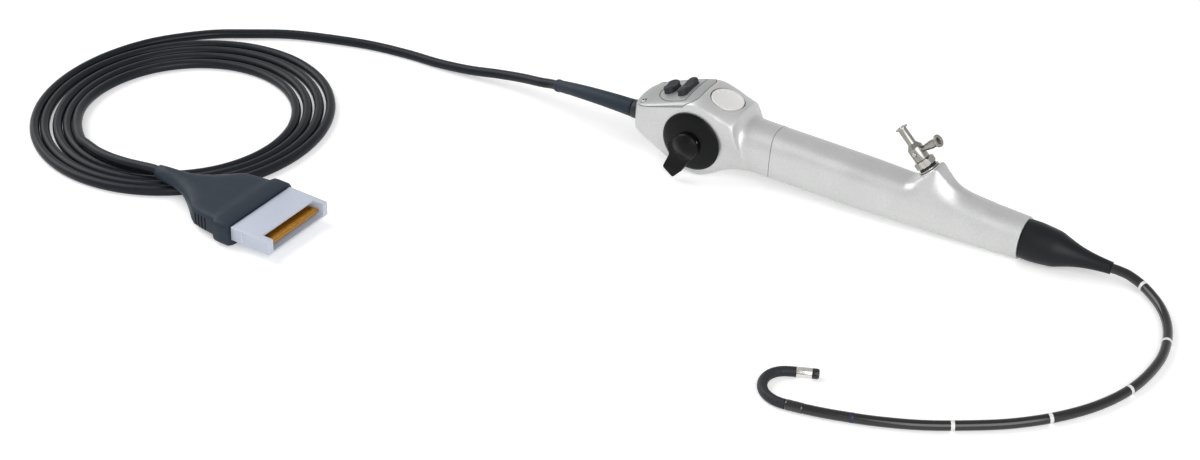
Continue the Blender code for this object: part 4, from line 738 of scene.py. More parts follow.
# Polycarbonate, moulded in a fine-eroded tool: pale blue-grey, satin, with soft edges.
moulded_polycarbonate = grained("moulded_polycarbonate", "#C9CFDD", "#BEC5D4", 0.7, 0.010, (0.34, 0.46),
                                mottle_mm=12.0)
shell = new_object("connector_shell",
                   block((shell_back, -shell_half_width, -tall), (shell_front, shell_half_width, tall),
                         0.5), plug)
slot_low = shell_front - slot_depth
carve(shell, new_object("slot", block((slot_low, -slot_half_width, -tall + shell_wall),
                                      (shell_front + 2, slot_half_width, tall - shell_wall), 0.3), plug))
carve(shell, new_object("mouth", block((shell_front - mouth_length, -slot_half_width, 0),
                                       (shell_front + 2, slot_half_width, tall + 2), 0.2), plug))
for side in (-1, 1):
    rib = block((shell_back + 6.5, side * shell_half_width - 0.4, -tall + 0.3),
                (shell_back + 8.0, side * shell_half_width + 0.4, tall - 0.3), 0.25, 2)
    carve(shell, new_object("rib", rib, plug), "UNION")
fitted(shell, moulded_polycarbonate, "handle", "white_plastic", "plug_shell", smooth=30)


# The contacts: a black liquid-crystal polymer block, and a tongue with gold-plated strips on both faces.
block_length = 6.0
tongue_thickness = 1.8
tongue_setback = 2.2
tongue_side_gap = 1.0
contact_pitch = 1.3
contact_width = 0.85
contact_rise = 0.12
strip_inset = 0.6
inner = slot_half_width - seat_gap
block_front = slot_low + block_length
holder = block((slot_low + seat_gap, -inner, -tall + shell_wall + seat_gap),
               (block_front, inner, tall - shell_wall - seat_gap), 0.2)
fitted(new_object("contact_holder", holder, plug), moulded_black, "handle", "black_plastic",
       "contact_block")
tongue = slot_half_width - tongue_side_gap
front = shell_front - tongue_setback
tongue_bm = block((block_front + seat_gap, -tongue, -tongue_thickness / 2 + contact_rise),
                  (front, tongue, tongue_thickness / 2 - contact_rise), 0.2, 2)

# Gold flash over nickel: warm, bright and a little uneven from plating.
gold_flash = grained("gold_flash", "#E3B04A", "#C08A2E", 0.8, 0.006, (0.24, 0.40), 1.0, mottle_mm=5.0)
amber_board = grained("amber_board", "#B98532", "#8E6120", 0.6, 0.006, (0.32, 0.45), 0.4)
fitted(new_object("contact_board", tongue_bm, plug), amber_board, "handle", "gold", "contact_tongue")
bm = bmesh.new()
contact_count = int(2 * (tongue - 1) / contact_pitch)
for face in (-1, 1):
    for i in range(contact_count):
        y = (i - (contact_count - 1) / 2) * contact_pitch
        strip = bmesh.ops.create_cube(bm, size=1)["verts"]
        bmesh.ops.scale(bm, vec=(front - block_front - 2 * strip_inset, contact_width, contact_rise + 0.1),
                        verts=strip)
        height = face * (tongue_thickness / 2 - contact_rise / 2 - 0.05)
        bmesh.ops.translate(bm, vec=((front + block_front) / 2, y, height), verts=strip)
fitted(new_object("contact_strips", bm, plug), gold_flash, "handle", "gold")


# The control head: a die-cast aluminium housing, blasted and lacquered satin silver. Its flat flanks fall to
# the round neck in a leaf-shaped hollow. Rows run from the rear: place, lean, half width, top, bottom, crown,
# and how far the row has turned into the neck's round above and below its middle.
neck_radius_mm = 14.4
neck_end = 43.8
head_wall = 2.2
hollow_end = 60.0
seam_x = 45.0
seam_bow = 2.6
scoop_creases = ((15, 0.45),)
scoop_pull = 2.8
corner_pull = (0, 0.1, 0.4, 0.8, 1.0, 0.9, 0.6, 0.3, 0.1, 0, 0, 0, 0)
head_rows = (
    (-41.6, 0.00, 6.0, 7.6, 5.6, 1.2, 0.0, 0.0), (-41.2, 0.00, 8.8, 8.8, 6.6, 1.4, 0.0, 0.0),
    (-39.9, 0.00, 12.0, 10.2, 7.5, 1.7, 0.0, 0.0), (-37.9, 0.00, 14.6, 11.3, 8.2, 1.9, 0.0, 0.0),
    (-35.0, 0.00, 16.5, 12.8, 9.1, 2.1, 0.0, 0.0), (-30.6, 0.00, 17.5, 14.6, 11.0, 2.2, 0.0, 0.0),
    (-21.0, 0.00, 17.7, 18.6, 16.5, 2.2, 0.0, 0.0), (-12.0, 0.00, 17.7, 22.2, 21.7, 2.2, 0.0, 0.0),
    (-5.0, 0.00, 17.7, 24.8, 24.5, 2.3, 0.0, 0.0), (0.5, 0.00, 17.7, 25.7, 24.8, 2.4, 0.0, 0.0),
    (5.5, 0.00, 17.7, 25.0, 24.6, 2.7, 0.0, 0.0), (12.0, 0.00, 17.7, 23.8, 22.2, 3.5, 0.0, 0.1),
    (17.5, 0.12, 17.7, 23.0, 18.6, 4.2, 0.0, 0.35), (23.6, 0.25, 17.7, 22.4, 16.0, 4.9, 0.0, 0.65),
    (29.6, 0.33, 17.7, 21.8, 14.9, 5.4, 0.0, 0.85), (31.6, 0.33, 17.4, 21.1, 14.6, 5.4, 0.0, 0.92),
    (32.4, 0.33, 15.8, 16.8, 14.4, 3.6, 0.5, 0.97), (34.0, 0.27, 14.8, 15.0, 14.4, 3.0, 0.92, 1.0),
    (38.2, 0.10, 14.56, 14.56, 14.56, 3.0, 1.0, 1.0), (seam_x, 0.00, 14.56, 14.56, 14.56, 3.0, 1.0, 1.0),
)
head_section = (
    (0.00, 0.00, 90), (0.30, 0.06, 75), (0.60, 0.28, 58), (0.84, 0.66, 46), (0.965, 1.02, 38),
    (1.0, 1.75, 26), (1.0, 3.2, 12),
)
flank_section = (
    (1.0, -0.05, -5), (1.0, -0.45, -24), (0.99, -0.74, -42), (0.90, -0.93, -56), (0.55, -1.0, -73),
    (0.0, -1.0, -90),
)
neck_squareness = 2.5


def head_point(row, i, inset):
    """The i-th of 24 points round a row of the head, counted from the crown down the far side."""
    x, lean, width, top, bottom, crown, round_above, round_below = row
    side = 1 if i <= 12 else -1
    k = i if i <= 12 else 24 - i
    if k < len(head_section):
        across, drop, degrees = head_section[k]
        y, z = across * (width - inset), top - inset - crown * drop
    else:
        across, share, degrees = flank_section[k - len(head_section)]
        y, z = across * (width - inset), share * (bottom - inset)
    c, s = cos(radians(degrees)), sin(radians(degrees))
    radius = neck_radius_mm * 1.0115 - inset
    round_y = radius * copysign(abs(c) ** (2 / neck_squareness), c)
    round_z = radius * copysign(abs(s) ** (2 / neck_squareness), s)
    roundness = round_above if k < len(head_section) else round_below
    y += (round_y - y) * roundness
    z += (round_z - z) * roundness
    bow = seam_bow * (y / neck_radius_mm) ** 2 * max(0, (x - 38) / (seam_x - 38))
    back = corner_pull[k] * scoop_pull * max(0, 1 - abs(x - 33) / 10)
    return Vector((x - lean * (z if z > 0 else z * 0.35) + bow - back, side * y, z))


def head_form(name, inset=0.0, levels=3, rows=head_rows, sharp=True):
    """The head's outer or inner form, from rings bridged into a cage and smoothed."""
    bm = bmesh.new()
    crease = bm.edges.layers.float.new("crease_edge")
    edges = []
    for row in rows:
        circle = bmesh.ops.create_circle(bm, cap_ends=False, radius=1, segments=24)["verts"]
        edges.append(list({edge for point in circle for edge in point.link_edges}))
        for i, point in enumerate(circle):
            point.co = head_point(row, i, inset)
    last = {point for edge in edges[-1] for point in edge.verts}
    joined_rings(bm, edges)
    for at, share in scoop_creases if sharp else ():
        for edge in edges[at]:
            edge[crease] = share
    for edge in bm.edges:
        if all(point in last for point in edge.verts):
            edge[crease] = 1.0
    form = new_object(name, bm, handle)
    smooth = form.modifiers.new("smooth", "SUBSURF")
    smooth.levels = smooth.render_levels = levels
    return settle(form)


hollow_rows = head_rows[3:] + ((hollow_end, 0.00, 14.56, 14.56, 14.56, 3.0, 1.0, 1.0),)
head_peak = 25.6
crest_fall = 0.8
crest_run = 6.0
rear_height = 8.5
rear_lift = 4.6
rear_reach = 45.3
rear_round = 6.0
cover_rear_x = -45.3
cover_rear_z = 6.7
cover_slope = (head_peak - crest_fall - rear_height - rear_lift) / (rear_reach - crest_run - rear_round)
cover_lean = atan(cover_slope)
cover_front = -1.0
cover_corner = 9.0
button_gap = 0.25
round_gap = 0.65


def uprights_at(bm, x):
    """The upright edges of a block at one place along X."""
    return [edge for edge in bm.edges if all(abs(point.co.x - x) < 0.01 for point in edge.verts)
            and abs(edge.verts[0].co.z - edge.verts[1].co.z) > 1]


def cover_region(name, lower):
    """The space of the top cover: above the seam along the flanks, behind a rounded front edge."""
    high = 40.0
    wide = head_half_width + 0.15 + lower
    bm = block((-60, -wide, -20), (cover_front + lower, wide, high))
    bmesh.ops.bevel(bm, geom=uprights_at(bm, cover_front + lower), offset=cover_corner, segments=16,
                    profile=0.5,
                    affect="EDGES", material=-1)
    bmesh.ops.bisect_plane(bm, geom=bm.verts[:] + bm.edges[:] + bm.faces[:], dist=1e-5,
                           plane_co=(cover_rear_x, 0, cover_rear_z - lower),
                           plane_no=(-sin(cover_lean), 0, cos(cover_lean)),
                           clear_inner=True)
    bmesh.ops.holes_fill(bm, edges=[edge for edge in bm.edges if edge.is_boundary], sides=0)
    bmesh.ops.recalc_face_normals(bm, faces=bm.faces)
    return new_object(name, bm, handle)


rear_button_x = -23.5
front_button_x = -13.4
round_button_x = 12.3
round_button_radius = 9.7
platform_end = 21.2
platform_length = 24.0
platform_drop = 3.0
platform_run = 16.0
platform_fall = atan2(head_peak - platform_end, platform_length)


def slope_frame(x):
    """A frame on the cover's slope, Z square to it."""
    height = head_peak - crest_fall + cover_slope * (x + crest_run)
    return handle @ Matrix.Translation((x, 0, height)) @ Matrix.Rotation(-cover_lean, 4, "Y")


round_button_z = head_peak - crest_fall - (round_button_x - crest_run) * (platform_drop / platform_run)
round_seat = (handle @ Matrix.Translation((round_button_x, 0, round_button_z))
              @ Matrix.Rotation(platform_fall, 4, "Y"))

# Satin lacquer over blasted die-cast aluminium: silver, with a fine even sparkle that blurs reflections. The
# real grain is about 0.2 mm and is drawn coarser, so that it can be seen.
satin_lacquer = grained("satin_silver_lacquer", "#D6D7D6", "#BDBEBD", 0.5, 0.008, (0.40, 0.48), 0.65,
                        mottle_mm=20.0)
grey_lacquer = grained("satin_grey_lacquer", "#B2B3B3", "#9FA0A0", 0.5, 0.008, (0.40, 0.48), 0.6,
                       mottle_mm=20.0)
head_body = head_form("head_body")
carve(head_body, cover_region("cover_space", 0.25))
carve(head_body, head_form("head_hollow", head_wall, 2, hollow_rows, False))
well = ring(0, round_button_radius + round_gap, -12, 8, steps=96)
carve(head_body, new_object("round_well", well, round_seat))
bush_hole = ring(0, 4.5, -9, head_wall)
near_side = handle @ Matrix.Translation((0, -head_half_width, 0)) @ Matrix.Rotation(pi / 2, 4, "X")
carve(head_body, new_object("bush_hole", bush_hole, near_side))
cable_way = handle @ Matrix.Translation((0, 0, -cable_drop)) @ Matrix.Rotation(pi / 2, 4, "Y")
carve(head_body, new_object("cable_hole", ring(0, 3.0, -60, -36), cable_way))
fitted(head_body, satin_lacquer, "handle", "lacquer", "head_housing", smooth=35)


# The top cover: a second casting in a greyer lacquer over the switches, held by two screws at its rear
# corners. A fine groove frames the buttons, square in front and round behind.
groove_low = -29.5
groove_high = -7.6
groove_half_width = 14.6
groove_width = 0.6
groove_depth = 0.6
rear_corner = 14.0
front_corner = 2.5
cover = head_form("head_cover")
carve(cover, cover_region("cover_keep", -0.15), "INTERSECT")
carve(cover, head_form("cover_hollow", head_wall, 2, hollow_rows, False))


def framing_ring(name, depth):
    """A thin upright wall round the buttons, square in front and round behind."""
    forms = []
    for grow in (0.0, -groove_width):
        wide = groove_half_width + grow
        bm = block((groove_low - grow, -wide, 0), (groove_high + grow, wide, 40))
        for at, radius in ((groove_low - grow, rear_corner + grow),
                           (groove_high + grow, front_corner + grow)):
            bmesh.ops.bevel(bm, geom=uprights_at(bm, at), offset=radius, segments=14, profile=0.5,
                            affect="EDGES",
                            material=-1)
        forms.append(new_object(name, bm, handle))
    wall = carve(forms[0], forms[1])
    return carve(wall, head_form(f"{name}_floor", depth, 3))


carve(cover, framing_ring("button_groove", groove_depth))


def bar_outline(length, width):
    """A bmesh plate along Y with round ends, lying at height zero."""
    bm = bmesh.new()
    half = width / 2
    straight = length / 2 - half
    points = []
    for side in (1, -1):
        for i in range(17):
            angle = (0 if side > 0 else pi) + pi * i / 16
            points.append(bm.verts.new((half * cos(angle), side * straight + half * sin(angle), 0)))
    bm.faces.new(points)
    return bm


def raised(bm, low, high):
    """The plate moved to one height and extruded to another."""
    bmesh.ops.translate(bm, vec=(0, 0, low), verts=bm.verts)
    new = bmesh.ops.extrude_face_region(bm, geom=bm.faces[:])["geom"]
    bmesh.ops.translate(bm, vec=(0, 0, high - low),
                        verts=[v for v in new if isinstance(v, bmesh.types.BMVert)])
    bmesh.ops.recalc_face_normals(bm, faces=bm.faces)
    return bm


button_sizes = (("rear", rear_button_x, 12.5, 7.0), ("front", front_button_x, 19.2, 5.6))
for name, x, length, width in button_sizes:
    hole = raised(bar_outline(length + 2 * button_gap, width + 2 * button_gap), -12, 12)
    carve(cover, new_object(f"{name}_hole", hole, slope_frame(x)))
screw_x = -35.6
screw_z = 12.1
screw_spread = 11.8
screw_tilt = radians(-22)
screw_turn = radians(16)
screw_radius = 1.6
screw_gap = 0.4


def screw_seat_frame(side):
    """A frame in the cover's rear corner, Z square to its surface."""
    return (handle @ Matrix.Translation((screw_x, side * screw_spread, screw_z))
            @ Matrix.Rotation(screw_tilt, 4, "Y")
            @ Matrix.Rotation(-side * screw_turn, 4, "X"))


for side in (-1, 1):
    seat = ring(0, screw_radius + screw_gap, -2.4, 4, steps=40)
    carve(cover, new_object("screw_seat", seat, screw_seat_frame(side)))
fitted(cover, grey_lacquer, "handle", "cover_lacquer", "head_top_cover", smooth=35)

# Stainless cap screws, turned, with a hexagon socket.
screw_steel = grained("turned_screw_steel", "#B9B7B2", "#9C9A96", 0.3, 0.006, (0.22, 0.34), 1.0)
for side, name in ((-1, "near"), (1, "far")):
    screw_frame = screw_seat_frame(side)
    head = turned([(0, -2.1), (screw_radius, -2.1), (screw_radius, -0.5), (screw_radius * 0.8, -0.2),
                   (0, -0.1)], 0.1, steps=48)
    screw = new_object(f"cap_screw_{name}", head, screw_frame)
    socket = bmesh.new()
    bmesh.ops.create_cone(socket, cap_ends=True, segments=6, radius1=0.75, radius2=0.75, depth=1.6)
    carve(screw, new_object("socket", socket, screw_frame @ Matrix.Translation((0, 0, -0.3))))
    fitted(screw, screw_steel, "handle", "steel", f"cover_screw_{name}")


# The buttons: two bars of black silicone on the cover, each with a dished top, and a round satin cap on the
# platform in front of them. Each one slides square to its own seat.
button_height = 2.5
button_dish = 1.0
button_root = -4.4

# Silicone rubber, moulded in a fine-sparked tool: charcoal, nearly matt, with a broad weak sheen.
moulded_keypad = grained("moulded_keypad_silicone", "#323336", "#28292B", 0.7, 0.014, (0.48, 0.62),
                         Specular_IOR_Level=0.25)
for name, x, length, width in button_sizes:
    bm = raised(bar_outline(length, width), button_root, button_height)
    top = [face for face in bm.faces if face.normal.z > 0.9]
    rim = list({edge for face in top for edge in face.edges})
    bmesh.ops.bevel(bm, geom=rim, offset=1.1, segments=5, profile=0.5, affect="EDGES", material=-1)
    bar = new_object(f"{name}_bar_button", bm, slope_frame(x))
    dish = bmesh.new()
    radius = length * 0.62
    bmesh.ops.create_cone(dish, cap_ends=True, segments=96, radius1=radius, radius2=radius, depth=width * 2)
    bmesh.ops.rotate(dish, cent=(0, 0, 0), matrix=Matrix.Rotation(pi / 2, 3, "Y"), verts=dish.verts)
    bmesh.ops.translate(dish, vec=(0, 0, button_height + radius - button_dish), verts=dish.verts)
    carve(bar, new_object("dish", dish, slope_frame(x)))
    fitted(bar, moulded_keypad, f"{name}_button", "black_rubber", f"{name}_button", smooth=45)

# Aluminium cap, turned and bead-blasted to a soft white satin.
blasted_aluminium = grained("blasted_aluminium", "#F0EFED", "#E6E5E3", 0.9, 0.004, (0.26, 0.34), 0.2)
cap = turned([(0, -4.8), (round_button_radius, -4.8), (round_button_radius, -0.4),
              (round_button_radius * 0.96, -0.2),
              (round_button_radius * 0.75, -0.75), (round_button_radius * 0.4, -1.15), (0, -1.3)], 0.12,
             steps=96)
fitted(new_object("round_cap_button", cap, round_seat), blasted_aluminium, "round_button", "aluminium",
       "round_button")


# The angulation lever: a black glass-filled nylon moulding with a domed hub and a thumb paddle, pinned to
# the axle. It turns with the shallow disc behind it. Its frame has Z out of the near side.
dome_radius = 18.0
dome_height = 4.2
hub_radius = 7.8
hub_height = 10.8
axle_radius = 2.5
disc = turned([(axle_radius + 0.1, seat_gap), (dome_radius - 0.4, seat_gap), (dome_radius, seat_gap + 0.5),
               (dome_radius, 1.1),
               (dome_radius * 0.93, 1.9), (dome_radius * 0.80, 2.7), (dome_radius * 0.62, 3.4),
               (hub_radius, dome_height),
               (axle_radius + 0.1, dome_height)], 0.5, steps=96, segments=4)

# Glass-filled nylon, moulded in a polished tool: deep black, satin, smooth at the thumb.
moulded_nylon = grained("moulded_glass_nylon", "#0B0C0C", "#070808", 0.8, 0.012, (0.28, 0.38),
                        Specular_IOR_Level=0.15)
fitted(new_object("lever_disc", disc, near_side), moulded_nylon, "lever", "black_plastic", "lever_dome")
hub_low = dome_height + seat_gap
arm_high = hub_low + 3.0
axle_hole_top = hub_low + 1.4
paddle_lift = 1.6
hub_start = -32
hub_sweep = 162
hub_steps = 27
wing_outline = ((-12.4, -2.0), (-10.2, -8.8), (-13.0, -17.4), (-6.0, -22.4), (-1.0, -16.6), (2.6, -9.6))
arm_slice = 0.7


def lever_rise(x, y):
    """How far the lever's top stands above its plate: a dome over the hub and a lift at the paddle's end."""
    near = min(1, (x * x + y * y) ** 0.5 / 8.4)
    far = min(1, max(0, (-y - 9) / 9))
    return (hub_height - arm_high) * (1 - near * near) ** 1.2 + paddle_lift * far * far * (3 - 2 * far)


hub_arc = [radians(hub_start + hub_sweep * i / hub_steps) for i in range(hub_steps + 1)]
lever_outline = [(hub_radius * cos(angle), hub_radius * sin(angle))
                 for angle in hub_arc] + list(wing_outline)
bm = bmesh.new()
bm.faces.new([bm.verts.new((x, y, 0)) for x, y in lever_outline])
bm = raised(bm, hub_low, arm_high)
upright = [edge for edge in bm.edges if abs(edge.verts[0].co.z - edge.verts[1].co.z) > 2
           and edge.calc_face_angle() > radians(20)]
bmesh.ops.bevel(bm, geom=upright, offset=1.2, segments=5, profile=0.5, affect="EDGES", material=-1)
rims = [edge for edge in bm.edges if edge.calc_face_angle() > radians(60)]
bmesh.ops.bevel(bm, geom=rims, offset=0.7, segments=4, profile=0.5, affect="EDGES", material=-1)
for axis in ((1, 0, 0), (0, 1, 0)):
    for i in range(-34, 15):
        bmesh.ops.bisect_plane(bm, geom=bm.verts[:] + bm.edges[:] + bm.faces[:], dist=1e-4,
                               plane_co=Vector(axis) * (i * arm_slice + 0.01), plane_no=axis)
for point in bm.verts:
    point.co.z += lever_rise(point.co.x, point.co.y) * (point.co.z - hub_low) / (arm_high - hub_low)
bmesh.ops.recalc_face_normals(bm, faces=bm.faces)
thumb_lever = new_object("thumb_lever", bm, near_side)
bore = ring(0, axle_radius + 0.1, hub_low - 1, axle_hole_top)
carve(thumb_lever, new_object("bore", bore, near_side))
fitted(thumb_lever, moulded_nylon, "lever", "black_plastic", "lever", smooth=40)
pin_angle = radians(35)
pin = ring(0, 0.6, axle_radius + 0.2, hub_radius + 0.2, 0.08, 32)
pin_frame = (near_side @ Matrix.Translation((0, 0, hub_low + 1.6)) @ Matrix.Rotation(pin_angle, 4, "Z")
             @ Matrix.Rotation(pi / 2, 4, "Y"))
fitted(new_object("cross_pin", pin, pin_frame), screw_steel, "lever", "steel", "lever_pin")


# The grip: an aluminium tube, formed and lacquered like the head, with soft corners that fade to the boot. A
# fin carries the instrument port: steep on the head's side, long and hollow towards the boot.
grip_start_radius = 14.4
grip_wall = 2.0
port_x = 137.5
port_height = 22.6
port_lean = radians(45)
port_boss_radius = 6.5
grip_sides = 96
grip_squareness = ((seam_x, neck_squareness), (105.0, 3.2), (150.0, 2.8), (grip_end, 2.2))
port_axis = Vector((-sin(port_lean), 0, cos(port_lean)))


def grip_radius(x):
    """The grip's radius, which falls evenly from the neck to the boot."""
    share = (x - neck_end) / (grip_end - neck_end)
    return grip_start_radius + (grip_end_radius - grip_start_radius) * share


def between(x, stops):
    """Value at x on straight runs between (x, value) stops."""
    if x <= stops[0][0]:
        return stops[0][1]
    for (x0, y0), (x1, y1) in zip(stops, stops[1:]):
        if x <= x1:
            return y0 + (y1 - y0) * (x - x0) / (x1 - x0)
    return stops[-1][1]


def fin_line():
    """The fin's crest seen from the side, as stops of place and height."""
    along = Vector((cos(port_lean), 0, sin(port_lean)))
    seat = Vector((port_x, 0, port_height)) - port_axis * 0.6
    back, crest = seat - along * port_boss_radius, seat + along * port_boss_radius
    fall = crest.z - grip_radius(crest.x)
    stops = [(back.x - 9.5, grip_radius(back.x - 9.5)), (back.x - 5.5, grip_radius(back.x) + 0.5),
             (back.x - 2.2, (grip_radius(back.x) + back.z) / 2), (back.x, back.z), (seat.x, seat.z),
             (crest.x, crest.z)]
    for run, drop in ((3.0, 0.10), (7.0, 0.36), (11.5, 0.60), (17.0, 0.79), (24.0, 0.93), (33.0, 1.0)):
        stops.append((crest.x + run, crest.z - fall * drop))
    return stops


def fin_share(x, across):
    """How much of the fin's rise a point at this distance from the middle takes."""
    flat = 6.6 - 5.0 * min(max((x - port_x) / 22, 0), 1)
    spread = min(max((across - flat) / (port_boss_radius * 1.85 - flat), 0), 1)
    return 1 - spread


fin = [(point.x, point.z) for point in laid_line([(x, 0, z) for x, z in fin_line()], 0.8)]
grip_places = [seam_x + 0.25, seam_x + 0.5] + [neck_end + i * 8 for i in range(1, 9)]
grip_places += [x for x, _ in fin if x < grip_end - 1] + [grip_end - 0.3, grip_end]
bm = bmesh.new()
rows = []
for x in sorted(grip_places):
    radius = grip_radius(x)
    if x in (seam_x + 0.25, grip_end):
        radius -= 0.25
    lift = between(x, fin) - grip_radius(x) if fin[0][0] < x < fin[-1][0] else 0.0
    row = squared_ring(bm, x, radius, radius, radius, between(x, grip_squareness), grip_sides)
    for point in {point for edge in row for point in edge.verts}:
        if point.co.z > 0 and lift:
            point.co.z += lift * fin_share(x, abs(point.co.y))
        point.co.x += seam_bow * (point.co.y / radius) ** 2 * max(0, 1 - (x - seam_x) / 7)
    rows.append(row)
grip = new_object("grip_tube", joined_rings(bm, rows), handle)
port_seat = handle @ Matrix.Translation((port_x, 0, port_height)) @ Matrix.Rotation(-port_lean, 4, "Y")
boss = ring(0, port_boss_radius, -8, 0, 0.3)
carve(grip, new_object("boss", boss, port_seat), "UNION")
bm = bmesh.new()
bore_rows = []
for x in (neck_end - 2, grip_end + 2):
    inside = grip_radius(x) - grip_wall
    bore_rows.append(squared_ring(bm, x, inside, inside, inside, neck_squareness, 48))
carve(grip, new_object("bore", joined_rings(bm, bore_rows), handle))
carve(grip, new_object("socket", ring(0, 3.1, -21, 2), port_seat))
fitted(grip, satin_lacquer, "handle", "lacquer", "grip_housing", smooth=35)


# The instrument port: turned stainless steel. A washer and a seal lie under a hexagon nut, the body above it
# carries a side arm and a blanking screw, and the luer tube on top ends in a thin flange.
ring_top = seat_gap + 1.0
seal_low = ring_top + seat_gap
seal_top = seal_low + 0.8
nut_low = seal_top + seat_gap
nut_top = nut_low + 4.0
nut_corner = 12.1 / 2
body_low = nut_top + seat_gap
body_length = 7.8
body_top = body_low + body_length
cone_top = body_top + 2.6
luer_top = cone_top + 9.8
mouth = luer_top + 0.9
stem_radius = 3.0
body_radius = 4.45
luer_radius = 2.45
flange_radius = 3.6
luer_bore = 1.6
arm_reach = 16.0
arm_radius = 1.6
arm_mouth_radius = 3.7
arm_bore = 1.1
hole = stem_radius + 0.1

# Stainless steel, turned and polished: a darker grey, with fine rings square to the port and to its arm.
port_steel = turned_steel("turned_port_steel", "#96948F", (0, radians(45 - 3.565) + pi / 2, 0))
arm_steel = turned_steel("turned_arm_steel", "#96948F", (0, radians(-45 + 3.565), 0))
washer = ring(hole, 6.2, seat_gap, ring_top, 0.35, 72)
fitted(new_object("port_washer", washer, port_seat), port_steel, "handle", "steel", "port_ring")
seal = ring(hole, 5.2, seal_low, seal_top, 0.3, 72)
fitted(new_object("port_gasket", seal, port_seat), moulded_keypad, "handle", "black_rubber", "port_seal")
nut = bmesh.new()
bmesh.ops.create_cone(nut, cap_ends=True, segments=6, radius1=nut_corner, radius2=nut_corner,
                      depth=nut_top - nut_low)
bmesh.ops.translate(nut, vec=(0, 0, (nut_low + nut_top) / 2), verts=nut.verts)
nut = new_object("port_hex_nut", nut, port_seat)
dome = turned([(0, nut_low - 1), (nut_corner - 0.6, nut_low), (nut_corner, nut_low + 0.5),
               (nut_corner, nut_top - 0.7), (nut_corner - 0.9, nut_top), (0, nut_top + 0.05)], steps=96)
carve(nut, new_object("nut_dome", dome, port_seat), "INTERSECT")
carve(nut, new_object("nut_hole", ring(0, hole, nut_low - 1, nut_top + 1), port_seat))
fitted(nut, port_steel, "handle", "steel", "port_nut", smooth=25)
valve = turned([
    (luer_bore, -15.0), (stem_radius, -15.0), (stem_radius, body_low), (body_radius, body_low),
    (body_radius, body_top),
    (luer_radius, cone_top), (luer_radius, luer_top), (flange_radius, luer_top + 0.1),
    (flange_radius, mouth),
    (luer_bore + 0.4, mouth), (luer_bore, luer_top - 4.0)], 0.16, steps=80)
valve = new_object("port_valve_body", valve, port_seat)
arm_height = body_low + body_length * 0.62
arm_seat = port_seat @ Matrix.Translation((0, 0, arm_height)) @ Matrix.Rotation(pi / 2, 4, "Y")
arm_start = body_radius - 1.2
channel = turned([(0, 0.1), (arm_bore, 0.1), (arm_bore, arm_start - 0.1),
                  (arm_radius + 0.1, arm_start - 0.1),
                  (arm_radius + 0.1, body_radius + 2), (0, body_radius + 2)])
carve(valve, new_object("arm_bore", channel, arm_seat))
screw_seat = port_seat @ Matrix.Translation((0, 0, arm_height)) @ Matrix.Rotation(pi / 2, 4, "X")
carve(valve, new_object("screw_bore", ring(0, 1.5, body_radius - 1, body_radius + 2), screw_seat))
fitted(valve, port_steel, "handle", "steel", "port_body")
arm = turned([
    (arm_bore, arm_start), (arm_radius, arm_start), (arm_radius, body_radius + 0.8),
    (arm_radius + 0.9, arm_reach * 0.62),
    (arm_radius + 0.9, arm_reach - 2.2), (arm_mouth_radius, arm_reach - 1.1), (arm_mouth_radius, arm_reach),
    (arm_bore + 1.0, arm_reach), (arm_bore, arm_reach - 3.5)], 0.2, steps=72)
fitted(new_object("flush_arm", arm, arm_seat), arm_steel, "handle", "steel", "side_arm")
cap_low = body_radius - 0.9
blank = turned([(0, cap_low), (1.4, cap_low), (1.4, body_radius + 0.1), (1.0, body_radius + 0.7),
                (0, body_radius + 0.9)], 0.12, steps=48)
fitted(new_object("blanking_screw", blank, screw_seat), screw_steel, "handle", "steel", "channel_plug")


# The distal boot: soft black silicone, moulded in one piece and pushed over the grip's end, so that the tube
# never kinks at the mouth.
boot_shoulder = 16.0
boot_start_radius = 11.2
boot_end_radius = 3.5
boot_start = grip_end + seat_gap
boot_taper = boot_end - boot_start - boot_shoulder
boot_fall = boot_start_radius - boot_end_radius
boot_line = [(boot_start_radius, boot_start + 0.4), (boot_start_radius + 0.1, boot_start + 4),
             (boot_start_radius, boot_start + boot_shoulder * 0.5),
             (boot_start_radius - 0.5, boot_start + boot_shoulder * 0.85)]
for share, drop in ((0.08, 0.15), (0.20, 0.33), (0.35, 0.55), (0.50, 0.73), (0.68, 0.87), (0.86, 0.96),
                    (0.98, 1.0)):
    boot_line.append((boot_start_radius - boot_fall * drop,
                      boot_start + boot_shoulder + boot_taper * share))
boot_curve = [(point.x, point.z) for point in laid_line([(r, 0, x) for r, x in boot_line], 1.2)]
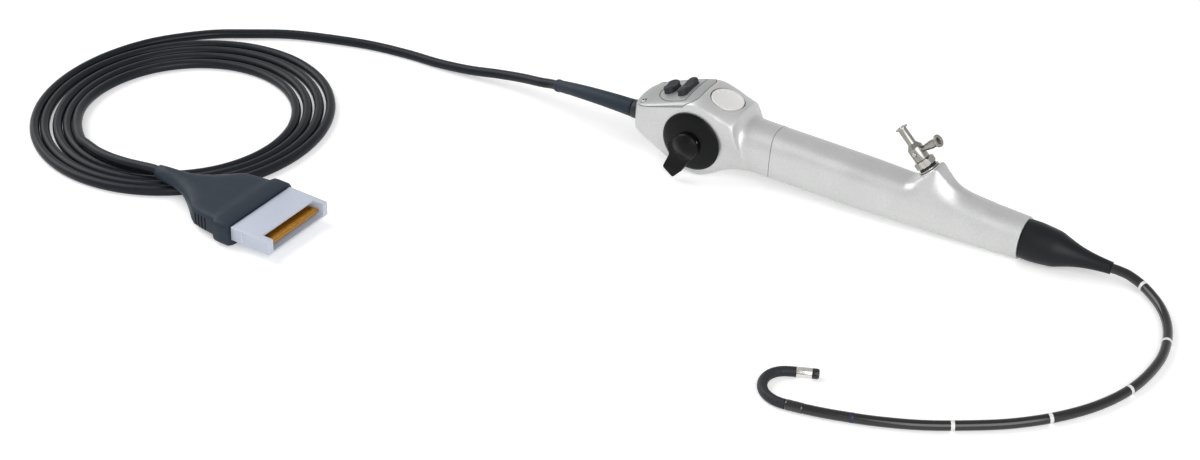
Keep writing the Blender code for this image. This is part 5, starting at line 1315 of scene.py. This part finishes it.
spigot = grip_end_radius - grip_wall - 0.9
boot_outline = [(0, boot_start - 8), (spigot, boot_start - 8), (spigot, boot_start),
                (boot_start_radius - 0.4, boot_start)] + boot_curve
boot_outline += [(boot_end_radius, boot_end), (tube_radius + 0.1, boot_end),
                 (tube_radius + 0.1, boot_end - 1.5), (0, boot_end - 1.5)]

# Silicone rubber, moulded: black with a cool tinge, satin, with a long soft highlight down the taper.
boot_rubber = grained("moulded_boot_silicone", "#1A1C20", "#141619", 0.8, 0.010, (0.38, 0.50),
                      Specular_IOR_Level=0.2)
boot = new_object("tapered_boot", turned(boot_outline, steps=96), handle @ Matrix.Rotation(pi / 2, 4, "Y"))
fitted(boot, boot_rubber, "handle", "black_rubber", "distal_boot")


# What the housings hide: the pressed chassis, the boards and their dome switches, the brass drum and bush,
# the pull wires, the ring links and the channel tube. They keep their own shapes and get real finishes.

# Drawn steel, rolled aluminium, turned brass, solder mask and drawn PTFE, each with its own mill finish.
drawn_steel = grained("drawn_steel", "#B4B2AE", "#98968F", 0.4, 0.004, (0.28, 0.40), 1.0)
rolled_aluminium = grained("rolled_aluminium", "#C9CACB", "#B2B4B5", 0.6, 0.006, (0.34, 0.46), 1.0)
turned_brass = grained("turned_brass", "#C9A557", "#AB8740", 0.4, 0.004, (0.26, 0.38), 1.0)
printed_board = grained("solder_masked_board", "#1E6B3C", "#15512D", 1.2, 0.010, (0.30, 0.42))
drawn_ptfe = grained("drawn_ptfe", "#E6E7E4", "#D2D4D0", 0.6, 0.004, (0.34, 0.46))
links = ["base_link"] + [f"bending_link_{i + 1}" for i in range(len(hinges))]
hidden = ((links + ["upper_pull_wire", "lower_pull_wire", "rear_switch", "front_switch", "round_switch",
                    "lever_axle"], drawn_steel),
          (["chassis"], rolled_aluminium), (["wire_drum", "axle_bush"], turned_brass),
          (["switch_board", "round_board", "image_board"], printed_board), (["channel_tube"], drawn_ptfe))
for names, material in hidden:
    for name in names:
        node = frame["nodes"][name]
        node.data.materials.clear()
        node.data.materials.append(material)
